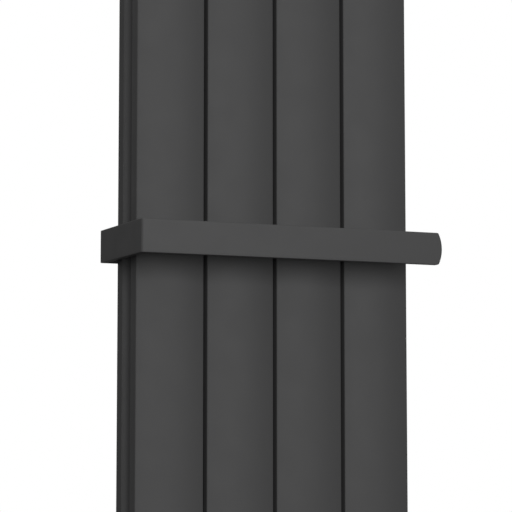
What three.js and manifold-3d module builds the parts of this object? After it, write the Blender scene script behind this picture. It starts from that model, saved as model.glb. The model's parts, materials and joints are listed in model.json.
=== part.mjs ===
// Vertical aluminium radiator of four extruded sections with a wrap-round towel rail, a thermostatic valve
// and a lockshield valve, all in millimetres.
// X runs across the front, the room is on the -Y side, Y = 0 is the face of the wall, and Z = 0 is the
// underside of the bottom heads.

import * as THREE from 'three';
import { mergeVertices } from 'three/addons/utils/BufferGeometryUtils.js';
import Module from 'manifold-3d';

const wasm = await Module();
wasm.setup();

// ---------------------------------------------------------------- driving dimensions

const CLEARANCE = 0.3;
const CUT_OVERRUN = 1;

// Sections
const SECTION_COUNT = 4;
const PANEL_WIDTH = 90;
const PANEL_GAP = 5;
const RADIATOR_HEIGHT = 1800;
const SECTION_DEPTH = 67.5;
const WALL_SPACE = 32.5;
const CROWN = 6;
const FRONT_LIP = 19;
const REAR_FLANGE = 18.5;
const NECK_INSET = 11;
const PROFILE_WALL = 1.6;
const WEB = 1.6;
const CHANNEL_WALL = 1.8;
const CHANNEL_CORNER = 5;

// Heads, and what joins and closes them
const HEAD_HEIGHT = 50;
const HEAD_FLOOR = 3;
const BOSS_RADIUS = 20;
const BOSS_PROUD = 1.45;
const GALLERY_RADIUS = 14;
const JOINT_THREAD_RADIUS = 17.1;
const JOINT_THREAD_DEPTH = 14;
const SPIGOT_HEIGHT = 8;
const RISER_RADIUS = 11;
const TAPPING_RADIUS = 10.5;
const NIPPLE_LENGTH = 26;
const NIPPLE_RADIUS = 16.5;
const NIPPLE_KEY_RADIUS = 12.5;
const GASKET_THICKNESS = 1.5;
const GASKET_INNER_RADIUS = 17.2;
const PLUG_LENGTH = 12;
const PLUG_FLANGE_RADIUS = 19.5;
const PLUG_FLANGE = 3;
const PLUG_KEY_RADIUS = 5.5;
const PLUG_KEY_DEPTH = 6;
const VENT = { radius: 3, length: 15.5, proud: 2.2, chamfer: 0.6, slotWidth: 1, slotDepth: 1.2 };

// Wall brackets
const BRACKET_THICKNESS = 3;
const BRACKET_WIDTH = 30;
const BRACKET_PLATE_HEIGHT = 80;
const BRACKET_HOLE_RADIUS = 3.5;
const BRACKET_HOLE_INSET = 12;
const BRACKET_HOLE_OFFSET = 8.5;
const HOOK = { clearance: 0.6, rearTurn: 1 / 6, frontTurn: 0.76, lip: 3, lipHeight: 8 };
const HOOK_ARM = { elbow: 12, elbowDrop: 10, heel: 0.75, heelDrop: 20, rootDrop: 38 };

// Towel rail
const RAIL_HEIGHT = 41;
const RAIL_THICKNESS = 8;
const RAIL_FRONT = 73;
const RAIL_LEFT = 20;
const RAIL_RIGHT = 9.5;
const RAIL_END_BULGE = 5;
const RAIL_CENTRE_Z = 1150;
const RAIL_ARM_SPACE = 2.5;
const RAIL_FOLD_RADIUS = 3.5;
const RAIL_INNER_FOLD_RADIUS = 0.8;
const RAIL_ARM_OVERHANG = 25;
const RAIL_HOLE_RADIUS = 2.4;
const RAIL_GAPS = [0, 1];
const CLAMP_NUT = { width: 14, depth: 6, height: 24, setback: 1.5, bore: 2.3 };
const RAIL_SCREW = { radius: 2, length: 36, headRadius: 3.6, head: 3, key: 1.7, keyDepth: 2 };
const PAD = { thickness: 1.9, height: 30, margin: 18 };

// Valves. Lengths along the valve run from the union's axis, positive towards the room.
const VALVE_DROP = 40;
const SEAT = -7;
const BARREL = { radius: 12.5, back: -14, front: 15 };
const INLET = { radius: 10.5, end: -27, socket: 7.8, stop: -15, passage: 5.5 };
const CHAMBER_RADIUS = 8.6;
const BRANCH = { radius: 12, top: 22, bore: 6.5 };
const TAIL = { collar: 10.7, tube: 8.2, shoulder: 13, thread: 10.2, bore: 6.2 };
const TAIL_COLLAR_HEIGHT = 3;
const TAIL_SHOULDER_HEIGHT = 5.5;
const UNION_NUT = { flats: 27, bottom: 14.8, top: 29, lip: 25.7 };
const COMPRESSION_NUT = { flats: 24, back: -40, front: -16, shoulder: -34 };
const OLIVE = { inner: 7.7, outer: 9.9, back: -33, front: -27.5 };
const THERMOSTAT_NECK = { radius: 14.2, end: 26 };
const LOCKSHIELD_NECK = { radius: 10, end: 22 };
const HEX_OVERLAP = 0.01;
const INSERT = { back: 9, guide: 2.4, bore: 5.6, flats: 19, hexHeight: 5.7 };
const PIN = { plug: 7, plugThickness: 3.2, stem: 2.1, collar: 5.2, collarThickness: 2, front: 36 };
const SPRING = { radius: 4.2, wire: 0.55, back: 14.3, front: 26.7, turns: 5 };
const SPRING_STEPS_PER_TURN = 9;
const RING_NUT = { radius: 17, back: 16.2, front: 31, lip: 29, mouth: 12.9 };
const HEAD_FOOT = { inner: 11.4, outer: 14.2, lift: 0.4, height: 2.3, waist: 12.6 };
const HEAD_CAGE = { hub: 4.5, back: 32, floor: 36, shoulder: 17.5, radius: 22.5, flare: 37, front: 44 };
const HEAD_TUBE = { inner: 14.2, outer: 16.2, front: 78 };
const HEAD_HUB_THICKNESS = 2;
const SENSOR = { nose: 3.5, back: 36.3, shoulder: 38, radius: 13.8, front: 82 };
const HANDWHEEL = { radius: 24, back: 44.6, shoulder: 88, front: 94, nose: 20, inner: 16.8, ceiling: 86 };
const HANDWHEEL_GROOVES = 12;
const HANDWHEEL_GROOVE = { radius: 1.6, setback: 6 };
const BONNET = { back: 9, bore: 3.4, flats: 17, hexHeight: 4.7 };
const SPINDLE = { radius: 3.1, back: 11, front: 30, bore: 1.9, boreFront: 24 };
const SPINDLE_SLOT = { width: 1.2, back: 28.4 };
const CONE = { radius: 7, front: -4, stem: 1.6, stemFront: 20 };
const CAP = { radius: 13.5, back: 16, shoulder: 35, front: 37, nose: 12, inner: 11.5, ceiling: 33 };

// How finely round things are divided
const ARC_DIVISIONS = 4;
const COARSE_ARC_DIVISIONS = 2;
const FINE_SIDES = 20;
const ROUND_SIDES = 16;
const SMALL_SIDES = 16;
const TINY_SIDES = 12;
const HEX_SIDES = 6;

// ---------------------------------------------------------------- derived dimensions

const PITCH = PANEL_WIDTH + PANEL_GAP;
const HALF_PANEL = PANEL_WIDTH / 2;
const FRONT_EDGE_Y = -(WALL_SPACE + SECTION_DEPTH);
const FLANGE_START = SECTION_DEPTH - REAR_FLANGE;
const CROWN_RADIUS = (HALF_PANEL ** 2 + CROWN ** 2) / (2 * CROWN);
const GALLERY_DEPTH = (FRONT_LIP + FLANGE_START) / 2;
const GALLERY_Y = FRONT_EDGE_Y + GALLERY_DEPTH;
const GALLERY_Z = HEAD_HEIGHT / 2;
const BOSS_END = HALF_PANEL + BOSS_PROUD;
const HALF_WIDTH = (SECTION_COUNT * PANEL_WIDTH + (SECTION_COUNT - 1) * PANEL_GAP) / 2;
const PLUG_FACE = CLEARANCE + PLUG_FLANGE;
const HEX_CORNER = 1 / Math.cos(Math.PI / HEX_SIDES);

const sectionX = (index) => (index - (SECTION_COUNT - 1) / 2) * PITCH;
const gapX = (index) => sectionX(index) + PITCH / 2;

const RAIL_ARM_Y = -WALL_SPACE + RAIL_ARM_SPACE + RAIL_THICKNESS;
const RAIL_ARM_END = gapX(RAIL_GAPS[RAIL_GAPS.length - 1]) + RAIL_ARM_OVERHANG;

// ---------------------------------------------------------------- finishes

function finish(color, roughness, metalness) {
  return () => new THREE.MeshStandardMaterial({ color, roughness, metalness });
}

const anthraciteCoat = finish(0x4a4a4b, 0.55, 0.1);
const darkPlastic = finish(0x3c3c3e, 0.6, 0.0);
const nickel = finish(0xb4b2ac, 0.3, 1.0);
const brass = finish(0xb8964f, 0.35, 1.0);
const steel = finish(0x9a9c9e, 0.35, 1.0);
const castAluminium = finish(0x8f9194, 0.5, 0.9);
const fibre = finish(0x6c4a34, 0.85, 0.0);
const rubber = finish(0x1b1b1c, 0.9, 0.0);
const waxCapsule = finish(0xd8d8d4, 0.5, 0.0);

// ---------------------------------------------------------------- solids

// Welds a geometry into one closed mesh, without the slivers that a lathe leaves on its axis.
function weld(geometry) {
  const bare = geometry.clone();
  bare.deleteAttribute('normal');
  bare.deleteAttribute('uv');
  const welded = mergeVertices(bare);
  const corners = welded.index.array;
  const kept = [];
  for (let i = 0; i < corners.length; i += 3) {
    const [a, b, c] = corners.slice(i, i + 3);
    if (a !== b && b !== c && c !== a) {
      kept.push(a, b, c);
    }
  }
  welded.setIndex(kept);
  return welded;
}

function toSolid(geometry) {
  const welded = weld(geometry);
  const mesh = new wasm.Mesh({
    numProp: 3,
    vertProperties: new Float32Array(welded.attributes.position.array),
    triVerts: new Uint32Array(welded.index.array),
  });
  return new wasm.Manifold(mesh);
}

function toGeometry(solid) {
  const mesh = solid.getMesh();
  const corners = new THREE.BufferAttribute(new Float32Array(mesh.vertProperties), 3);
  const geometry = new THREE.BufferGeometry();
  geometry.setAttribute('position', corners);
  geometry.setIndex(new THREE.BufferAttribute(new Uint32Array(mesh.triVerts), 1));
  geometry.computeVertexNormals();
  return geometry;
}

// Joins and cuts: add and cut are lists of geometries.
function carve(base, { add = [], cut = [] }) {
  let solid = toSolid(base);
  for (const extra of add) {
    solid = solid.add(toSolid(extra));
  }
  for (const tool of cut) {
    solid = solid.subtract(toSolid(tool));
  }
  return toGeometry(solid);
}

// A body turned about Y. The profile is a list of [radius, y] that runs out along the low end, up the
// outside and back in along the high end. It either starts and ends on the axis or is closed as a ring.
function turned(profile, sides = ROUND_SIDES) {
  const points = profile.map(([radius, y]) => new THREE.Vector2(radius, y));
  const onAxis = profile[0][0] === 0 && profile[profile.length - 1][0] === 0;
  if (!onAxis) {
    points.push(points[0].clone());
  }
  return weld(new THREE.LatheGeometry(points, sides));
}

// A round or hexagonal bar along Y between two stations.
function bar(radius, low, high, sides = ROUND_SIDES) {
  const cylinder = new THREE.CylinderGeometry(radius, radius, high - low, sides);
  return cylinder.translate(0, (low + high) / 2, 0);
}

function hexBar(flats, low, high) {
  return bar((flats / 2) * HEX_CORNER, low, high, HEX_SIDES);
}

// A box between two corners.
function block(low, high) {
  const size = high.map((value, axis) => value - low[axis]);
  const centre = high.map((value, axis) => (value + low[axis]) / 2);
  return new THREE.BoxGeometry(...size).translate(...centre);
}

function prism(shape, length, divisions = ARC_DIVISIONS) {
  return new THREE.ExtrudeGeometry(shape, {
    depth: length,
    bevelEnabled: false,
    curveSegments: divisions,
  });
}

const alongX = (geometry) => geometry.rotateZ(-Math.PI / 2);
const alongZ = (geometry) => geometry.rotateX(Math.PI / 2);

// Turns a shape drawn as (y, z), extruded in its own depth, into one that is extruded along X.
const SIDE_VIEW = new THREE.Matrix4().makeBasis(
  new THREE.Vector3(0, 1, 0),
  new THREE.Vector3(0, 0, 1),
  new THREE.Vector3(1, 0, 0),
);

// Turns a shape drawn as (x, z) into one that is extruded towards the room.
const FRONT_VIEW = new THREE.Matrix4().makeBasis(
  new THREE.Vector3(1, 0, 0),
  new THREE.Vector3(0, 0, 1),
  new THREE.Vector3(0, -1, 0),
);

const radiator = new THREE.Group();

function place(name, geometry, makeFinish, [x, y, z] = [0, 0, 0], parent = radiator) {
  const mesh = new THREE.Mesh(geometry, makeFinish());
  mesh.name = name;
  mesh.position.set(x, y, z);
  parent.add(mesh);
  return mesh;
}

// ---------------------------------------------------------------- section profile

// Plan of a section: x across, y back from the two front corners, which lie at y = 0.
function profileOutline() {
  const spread = Math.asin(HALF_PANEL / CROWN_RADIUS);
  const quarter = Math.PI / 2;
  const outline = new THREE.Shape();
  outline.absarc(0, CROWN_RADIUS - CROWN, CROWN_RADIUS, -quarter - spread, -quarter + spread, false);
  outline.lineTo(HALF_PANEL, FRONT_LIP);
  outline.absarc(HALF_PANEL, FRONT_LIP + NECK_INSET, NECK_INSET, -quarter, -Math.PI, true);
  outline.absarc(HALF_PANEL, FLANGE_START - NECK_INSET, NECK_INSET, Math.PI, quarter, true);
  outline.lineTo(HALF_PANEL, SECTION_DEPTH);
  outline.lineTo(-HALF_PANEL, SECTION_DEPTH);
  outline.lineTo(-HALF_PANEL, FLANGE_START);
  outline.absarc(-HALF_PANEL, FLANGE_START - NECK_INSET, NECK_INSET, quarter, 0, true);
  outline.absarc(-HALF_PANEL, FRONT_LIP + NECK_INSET, NECK_INSET, 0, -quarter, true);
  outline.closePath();
  return outline;
}

// Air chamber behind the crowned front.
function frontChamber(kind = THREE.Path) {
  const half = HALF_PANEL - PROFILE_WALL;
  const radius = CROWN_RADIUS - PROFILE_WALL;
  const spread = Math.asin(half / radius);
  const back = FRONT_LIP - PROFILE_WALL;
  const chamber = new kind();
  chamber.absarc(0, CROWN_RADIUS - CROWN, radius, -Math.PI / 2 - spread, -Math.PI / 2 + spread, false);
  chamber.lineTo(half, back);
  chamber.lineTo(-half, back);
  chamber.closePath();
  return chamber;
}

// Air chamber inside the rear flange.
function rearChamber(kind = THREE.Path) {
  const half = HALF_PANEL - PROFILE_WALL;
  const chamber = new kind();
  chamber.moveTo(-half, FLANGE_START + PROFILE_WALL);
  chamber.lineTo(half, FLANGE_START + PROFILE_WALL);
  chamber.lineTo(half, SECTION_DEPTH - PROFILE_WALL);
  chamber.lineTo(-half, SECTION_DEPTH - PROFILE_WALL);
  chamber.closePath();
  return chamber;
}

// Water channel in the neck, made smaller all round by inset.
function waterChannel(kind = THREE.Path, inset = 0) {
  const half = HALF_PANEL - NECK_INSET - CHANNEL_WALL - inset;
  const front = FRONT_LIP - PROFILE_WALL + WEB + inset;
  const back = FLANGE_START + PROFILE_WALL - WEB - inset;
  const channel = new kind();
  channel.moveTo(-half + CHANNEL_CORNER, front);
  channel.lineTo(half - CHANNEL_CORNER, front);
  channel.quadraticCurveTo(half, front, half, front + CHANNEL_CORNER);
  channel.lineTo(half, back - CHANNEL_CORNER);
  channel.quadraticCurveTo(half, back, half - CHANNEL_CORNER, back);
  channel.lineTo(-half + CHANNEL_CORNER, back);
  channel.quadraticCurveTo(-half, back, -half, back - CHANNEL_CORNER);
  channel.lineTo(-half, front + CHANNEL_CORNER);
  channel.quadraticCurveTo(-half, front, -half + CHANNEL_CORNER, front);
  return channel;
}

function addSections() {
  const outline = profileOutline();
  outline.holes.push(frontChamber(), waterChannel(), rearChamber());
  const length = RADIATOR_HEIGHT - 2 * (HEAD_HEIGHT + CLEARANCE);
  for (let i = 0; i < SECTION_COUNT; i += 1) {
    const foot = [sectionX(i), FRONT_EDGE_Y, HEAD_HEIGHT + CLEARANCE];
    place(`section_${i + 1}`, prism(outline, length), anthraciteCoat, foot);
  }
}

// ---------------------------------------------------------------- heads and their joints

// A bottom head. The water gallery runs across it, and a riser opens into the section above.
function headGeometry(hasTapping) {
  const pocketDepth = HEAD_HEIGHT - HEAD_FLOOR + CUT_OVERRUN;
  const pockets = [frontChamber(THREE.Shape), rearChamber(THREE.Shape)];
  const coarsePrism = (shape, length) => prism(shape, length, COARSE_ARC_DIVISIONS);
  const hollow = carve(coarsePrism(profileOutline(), HEAD_HEIGHT), {
    cut: pockets.map((pocket) => coarsePrism(pocket, pocketDepth).translate(0, 0, HEAD_FLOOR)),
  });
  const boss = alongX(bar(BOSS_RADIUS, -BOSS_END, BOSS_END, SMALL_SIDES));
  const spigot = coarsePrism(waterChannel(THREE.Shape, CLEARANCE), SPIGOT_HEIGHT + CUT_OVERRUN);
  const gallery = bar(GALLERY_RADIUS, -BOSS_END - CUT_OVERRUN, BOSS_END + CUT_OVERRUN, SMALL_SIDES);
  const cuts = [alongX(gallery), alongZ(bar(RISER_RADIUS, 0, HEAD_HEIGHT, TINY_SIDES))];
  for (const side of [-1, 1]) {
    const mouth = side * (BOSS_END + CUT_OVERRUN);
    const bottom = side * (BOSS_END - JOINT_THREAD_DEPTH);
    const [low, high] = [mouth, bottom].sort((a, b) => a - b);
    cuts.push(alongX(bar(JOINT_THREAD_RADIUS, low, high, SMALL_SIDES)));
  }
  if (hasTapping) {
    cuts.push(alongZ(bar(TAPPING_RADIUS, -HEAD_HEIGHT, 0, SMALL_SIDES)));
  }
  return carve(hollow, {
    add: [
      boss.translate(0, GALLERY_DEPTH, GALLERY_Z),
      spigot.translate(0, 0, HEAD_HEIGHT - CUT_OVERRUN),
    ],
    cut: cuts.map((tool) => tool.translate(0, GALLERY_DEPTH, GALLERY_Z)),
  });
}

function addHeads() {
  for (let i = 0; i < SECTION_COUNT; i += 1) {
    const isEnd = i === 0 || i === SECTION_COUNT - 1;
    const x = sectionX(i);
    place(`bottom_head_${i + 1}`, headGeometry(isEnd), anthraciteCoat, [x, FRONT_EDGE_Y, 0]);
    const top = place(`top_head_${i + 1}`, headGeometry(false), anthraciteCoat);
    top.position.set(x, FRONT_EDGE_Y, RADIATOR_HEIGHT);
    top.rotation.y = Math.PI;
  }
}

function nippleGeometry() {
  const key = bar(NIPPLE_KEY_RADIUS, -NIPPLE_LENGTH, NIPPLE_LENGTH, HEX_SIDES);
  return carve(bar(NIPPLE_RADIUS, -NIPPLE_LENGTH / 2, NIPPLE_LENGTH / 2), { cut: [key] });
}

function gasketGeometry() {
  const half = GASKET_THICKNESS / 2;
  return turned(
    [
      [GASKET_INNER_RADIUS, -half],
      [BOSS_RADIUS, -half],
      [BOSS_RADIUS, half],
      [GASKET_INNER_RADIUS, half],
    ],
    SMALL_SIDES,
  );
}

function addJoints() {
  const levels = { bottom: GALLERY_Z, top: RADIATOR_HEIGHT - GALLERY_Z };
  for (const [level, z] of Object.entries(levels)) {
    for (let i = 0; i < SECTION_COUNT - 1; i += 1) {
      const spot = [gapX(i), GALLERY_Y, z];
      place(`${level}_nipple_${i + 1}`, alongX(nippleGeometry()), steel, spot);
      place(`${level}_gasket_${i + 1}`, alongX(gasketGeometry()), fibre, spot);
    }
  }
}

// A plug for an outer side tapping. Its own Y runs outwards from the end of the boss.
function plugGeometry(key) {
  const body = turned([
    [0, -PLUG_LENGTH],
    [NIPPLE_RADIUS, -PLUG_LENGTH],
    [NIPPLE_RADIUS, CLEARANCE],
    [PLUG_FLANGE_RADIUS, CLEARANCE],
    [PLUG_FLANGE_RADIUS, PLUG_FACE],
    [0, PLUG_FACE],
  ]);
  return carve(body, { cut: [key] });
}

function ventScrewGeometry() {
  const tip = PLUG_FACE + VENT.proud;
  const screw = turned(
    [
      [0, tip - VENT.length],
      [VENT.radius, tip - VENT.length],
      [VENT.radius, tip - VENT.chamfer],
      [VENT.radius - VENT.chamfer, tip],
      [0, tip],
    ],
    SMALL_SIDES,
  );
  const half = VENT.slotWidth / 2;
  const slot = block([-VENT.radius, tip - VENT.slotDepth, -half], [VENT.radius, tip + CUT_OVERRUN, half]);
  return carve(screw, { cut: [slot] });
}

function addPlugs() {
  const mouth = PLUG_FACE + CUT_OVERRUN;
  const hexKey = bar(PLUG_KEY_RADIUS, PLUG_FACE - PLUG_KEY_DEPTH, mouth, HEX_SIDES);
  const ventBore = bar(VENT.radius + CLEARANCE, -PLUG_LENGTH - CUT_OVERRUN, mouth, SMALL_SIDES);
  const outerX = sectionX(SECTION_COUNT - 1) + BOSS_END;
  const topZ = RADIATOR_HEIGHT - GALLERY_Z;
  const plugs = [
    ['bottom_left_plug', -1, GALLERY_Z, plugGeometry(hexKey), anthraciteCoat],
    ['bottom_right_plug', 1, GALLERY_Z, plugGeometry(hexKey), anthraciteCoat],
    ['top_right_plug', 1, topZ, plugGeometry(hexKey), anthraciteCoat],
    ['vent_plug', -1, topZ, plugGeometry(ventBore), anthraciteCoat],
    ['vent_screw', -1, topZ, ventScrewGeometry(), nickel],
  ];
  for (const [name, side, z, geometry, coat] of plugs) {
    const mesh = place(name, geometry, coat, [side * outerX, GALLERY_Y, z]);
    mesh.rotation.z = -side * (Math.PI / 2);
  }
}

// ---------------------------------------------------------------- wall brackets

// Drawn as (y, z) from the axis of the joint that it hooks round, with the wall at wallY.
function hookOutline(wallY) {
  const radius = BOSS_RADIUS + HOOK.clearance;
  const rearAngle = -Math.PI * HOOK.rearTurn;
  const frontAngle = -Math.PI * HOOK.frontTurn;
  const frontY = radius * Math.cos(frontAngle);
  const frontZ = radius * Math.sin(frontAngle);
  const root = wallY - BRACKET_THICKNESS / 2;
  const hook = new THREE.Shape();
  hook.moveTo(root, -radius - HOOK_ARM.rootDrop);
  hook.lineTo(root, radius * Math.sin(rearAngle));
  hook.absarc(0, 0, radius, rearAngle, frontAngle, true);
  hook.lineTo(frontY - HOOK.lip, frontZ);
  hook.lineTo(frontY - HOOK.lip, frontZ - HOOK.lipHeight);
  hook.lineTo(frontY + HOOK_ARM.elbow, -radius - HOOK_ARM.elbowDrop);
  hook.lineTo(HOOK_ARM.heel * root, -radius - HOOK_ARM.heelDrop);
  hook.closePath();
  return hook;
}

function bracketGeometry() {
  const wallY = -GALLERY_Y;
  const half = BRACKET_WIDTH / 2;
  const low = -BRACKET_PLATE_HEIGHT;
  const plate = block([-half, wallY - BRACKET_THICKNESS, low], [half, wallY, 0]);
  const arm = prism(hookOutline(wallY), BRACKET_THICKNESS).applyMatrix4(SIDE_VIEW);
  const drill = (x, z) => {
    const hole = bar(BRACKET_HOLE_RADIUS, wallY - 2 * BRACKET_THICKNESS, wallY + CUT_OVERRUN, TINY_SIDES);
    return hole.translate(x, 0, z);
  };
  return carve(plate, {
    add: [arm.translate(-BRACKET_THICKNESS / 2, 0, 0)],
    cut: [
      drill(BRACKET_HOLE_OFFSET, -BRACKET_HOLE_INSET),
      drill(-BRACKET_HOLE_OFFSET, low + BRACKET_HOLE_INSET),
    ],
  });
}

// The upper pair carries the radiator. The lower pair is the same bracket upside down, and locks it.
function addBrackets() {
  const outerGaps = { left: 0, right: SECTION_COUNT - 2 };
  for (const [side, gap] of Object.entries(outerGaps)) {
    const upperSpot = [gapX(gap), GALLERY_Y, RADIATOR_HEIGHT - GALLERY_Z];
    const lowerSpot = [gapX(gap), GALLERY_Y, GALLERY_Z];
    place(`upper_${side}_bracket`, bracketGeometry(), steel, upperSpot);
    const lower = place(`lower_${side}_bracket`, bracketGeometry(), steel, lowerSpot);
    lower.rotation.y = Math.PI;
  }
}

// ---------------------------------------------------------------- towel rail

// Plan of the rail: bar in front, leg down the left side, arm behind the sections.
function railPlan() {
  const frontY = FRONT_EDGE_Y - RAIL_FRONT;
  const rearY = RAIL_ARM_Y;
  const leftX = -HALF_WIDTH - RAIL_LEFT;
  const rightX = HALF_WIDTH + RAIL_RIGHT + RAIL_END_BULGE + CUT_OVERRUN;
  const outer = RAIL_FOLD_RADIUS;
  const inner = RAIL_INNER_FOLD_RADIUS;
  const wall = RAIL_THICKNESS;
  const plan = new THREE.Shape();
  plan.moveTo(rightX, frontY);
  plan.lineTo(rightX, frontY + wall);
  plan.lineTo(leftX + wall + inner, frontY + wall);
  plan.absarc(leftX + wall + inner, frontY + wall + inner, inner, -Math.PI / 2, -Math.PI, true);
  plan.absarc(leftX + wall + inner, rearY - wall - inner, inner, Math.PI, Math.PI / 2, true);
  plan.lineTo(RAIL_ARM_END, rearY - wall);
  plan.lineTo(RAIL_ARM_END, rearY);
  plan.absarc(leftX + outer, rearY - outer, outer, Math.PI / 2, Math.PI, false);
  plan.absarc(leftX + outer, frontY + outer, outer, Math.PI, Math.PI * 1.5, false);
  plan.closePath();
  return plan;
}

// Elevation of the rail with its bowed free end.
function railElevation() {
  const half = RAIL_HEIGHT / 2;
  const cornerX = HALF_WIDTH + RAIL_RIGHT;
  const radius = (half ** 2 + RAIL_END_BULGE ** 2) / (2 * RAIL_END_BULGE);
  const spread = Math.asin(half / radius);
  const elevation = new THREE.Shape();
  elevation.moveTo(-2 * HALF_WIDTH, half);
  elevation.lineTo(-2 * HALF_WIDTH, -half);
  elevation.absarc(cornerX + RAIL_END_BULGE - radius, 0, radius, -spread, spread, false);
  elevation.closePath();
  return elevation;
}

function railGeometry() {
  const body = prism(railPlan(), RAIL_HEIGHT).translate(0, 0, -RAIL_HEIGHT / 2);
  const envelope = prism(railElevation(), 2 * HALF_WIDTH).applyMatrix4(FRONT_VIEW);
  let rail = toSolid(body).intersect(toSolid(envelope));
  const holeFront = RAIL_ARM_Y - 2 * RAIL_THICKNESS;
  for (const gap of RAIL_GAPS) {
    const hole = bar(RAIL_HOLE_RADIUS, holeFront, RAIL_ARM_Y + CUT_OVERRUN, TINY_SIDES);
    rail = rail.subtract(toSolid(hole.translate(gapX(gap), 0, 0)));
  }
  return toGeometry(rail);
}

// Strip between the arm and the backs of the sections.
function padGeometry() {
  const back = -WALL_SPACE + CLEARANCE;
  const low = [gapX(0) - PAD.margin, back, -PAD.height / 2];
  const high = [RAIL_ARM_END - CLEARANCE, back + PAD.thickness, PAD.height / 2];
  const holes = RAIL_GAPS.map((gap) => {
    const hole = bar(RAIL_HOLE_RADIUS, back - PAD.thickness, back + 2 * PAD.thickness, TINY_SIDES);
    return hole.translate(gapX(gap), 0, 0);
  });
  return carve(block(low, high), { cut: holes });
}

function clampNutGeometry() {
  const rear = FRONT_EDGE_Y + FLANGE_START - CLAMP_NUT.setback;
  const nut = block(
    [-CLAMP_NUT.width / 2, rear - CLAMP_NUT.depth, -CLAMP_NUT.height / 2],
    [CLAMP_NUT.width / 2, rear, CLAMP_NUT.height / 2],
  );
  const thread = bar(CLAMP_NUT.bore, rear - 2 * CLAMP_NUT.depth, rear + CUT_OVERRUN, TINY_SIDES);
  return carve(nut, { cut: [thread] });
}

// The screw's own Y runs from under its head to its tip.
function railScrewGeometry() {
  const top = -RAIL_SCREW.head - CLEARANCE;
  const screw = turned(
    [
      [0, top],
      [RAIL_SCREW.headRadius, top],
      [RAIL_SCREW.headRadius, -CLEARANCE],
      [RAIL_SCREW.radius, -CLEARANCE],
      [RAIL_SCREW.radius, RAIL_SCREW.length],
      [0, RAIL_SCREW.length],
    ],
    TINY_SIDES,
  );
  const key = bar(RAIL_SCREW.key, top - CUT_OVERRUN, top + RAIL_SCREW.keyDepth, HEX_SIDES);
  return carve(screw, { cut: [key] });
}

function addRail() {
  const spot = [0, 0, RAIL_CENTRE_Z];
  place('towel_rail', railGeometry(), anthraciteCoat, spot);
  place('rail_pad', padGeometry(), rubber, spot);
  for (const [index, gap] of RAIL_GAPS.entries()) {
    place(`rail_clamp_nut_${index + 1}`, clampNutGeometry(), steel, [gapX(gap), 0, RAIL_CENTRE_Z]);
    const screwSpot = [gapX(gap), RAIL_ARM_Y, RAIL_CENTRE_Z];
    const screw = place(`rail_screw_${index + 1}`, railScrewGeometry(), steel, screwSpot);
    screw.rotation.z = Math.PI;
  }
}

// ---------------------------------------------------------------- what both valves share

function valveBodyGeometry(neck) {
  const barrel = bar(BARREL.radius, BARREL.back, BARREL.front);
  const inlet = bar(INLET.radius, INLET.end, 0);
  const front = bar(neck.radius, BARREL.front - CUT_OVERRUN, neck.end);
  const branch = alongZ(bar(BRANCH.radius, 0, BRANCH.top));
  return carve(barrel, {
    add: [inlet, front, branch],
    cut: [
      bar(INLET.socket, INLET.end - CUT_OVERRUN, INLET.stop),
      bar(INLET.passage, INLET.stop - CUT_OVERRUN, SEAT + CUT_OVERRUN, SMALL_SIDES),
      bar(CHAMBER_RADIUS, SEAT, neck.end + CUT_OVERRUN),
      alongZ(bar(BRANCH.bore, 0, BRANCH.top + CUT_OVERRUN, SMALL_SIDES)),
    ],
  });
}

// The tail stands on the branch and screws into the bottom tapping of the radiator.
function tailGeometry() {
  const foot = BRANCH.top + CLEARANCE;
  const collarTop = foot + TAIL_COLLAR_HEIGHT;
  const shoulderLow = VALVE_DROP - TAIL_SHOULDER_HEIGHT;
  const shoulderHigh = VALVE_DROP - CLEARANCE;
  const tip = VALVE_DROP + TAPPING_RADIUS;
  return alongZ(turned([
    [TAIL.bore, foot],
    [TAIL.collar, foot],
    [TAIL.collar, collarTop],
    [TAIL.tube, collarTop],
    [TAIL.tube, shoulderLow],
    [TAIL.shoulder, shoulderLow],
    [TAIL.shoulder, shoulderHigh],
    [TAIL.thread, shoulderHigh],
    [TAIL.thread, tip],
    [TAIL.bore, tip],
  ]));
}

function unionNutGeometry() {
  const nut = hexBar(UNION_NUT.flats, UNION_NUT.bottom, UNION_NUT.top);
  return alongZ(carve(nut, {
    cut: [
      bar(BRANCH.radius + CLEARANCE, 0, UNION_NUT.lip),
      bar(TAIL.tube + CLEARANCE, 0, UNION_NUT.top + CUT_OVERRUN),
    ],
  }));
}

function compressionNutGeometry() {
  const nut = hexBar(COMPRESSION_NUT.flats, COMPRESSION_NUT.back, COMPRESSION_NUT.front);
  return carve(nut, {
    cut: [
      bar(INLET.radius + CLEARANCE, COMPRESSION_NUT.shoulder, 0),
      bar(INLET.socket, COMPRESSION_NUT.back - CUT_OVERRUN, 0),
    ],
  });
}

function oliveGeometry() {
  const edge = (OLIVE.inner + OLIVE.outer) / 2;
  const third = (OLIVE.front - OLIVE.back) / 3;
  return turned(
    [
      [OLIVE.inner, OLIVE.back],
      [edge, OLIVE.back],
      [OLIVE.outer, OLIVE.back + third],
      [OLIVE.outer, OLIVE.front - third],
      [edge, OLIVE.front],
      [OLIVE.inner, OLIVE.front],
    ],
    SMALL_SIDES,
  );
}

// A valve's own frame has +Y towards the room and +Z up, with its origin where its two axes cross.
function valveGroup(prefix, sectionIndex, neck) {
  const valve = new THREE.Group();
  valve.position.set(sectionX(sectionIndex), GALLERY_Y, -VALVE_DROP);
  valve.rotation.z = Math.PI;
  radiator.add(valve);
  const origin = [0, 0, 0];
  place(`${prefix}_body`, valveBodyGeometry(neck), anthraciteCoat, origin, valve);
  place(`${prefix}_tail`, tailGeometry(), nickel, origin, valve);
  place(`${prefix}_union_nut`, unionNutGeometry(), anthraciteCoat, origin, valve);
  place(`${prefix}_compression_nut`, compressionNutGeometry(), anthraciteCoat, origin, valve);
  place(`${prefix}_olive`, oliveGeometry(), brass, origin, valve);
  return (name, geometry, coat) => place(`${prefix}_${name}`, geometry, coat, origin, valve);
}

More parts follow.
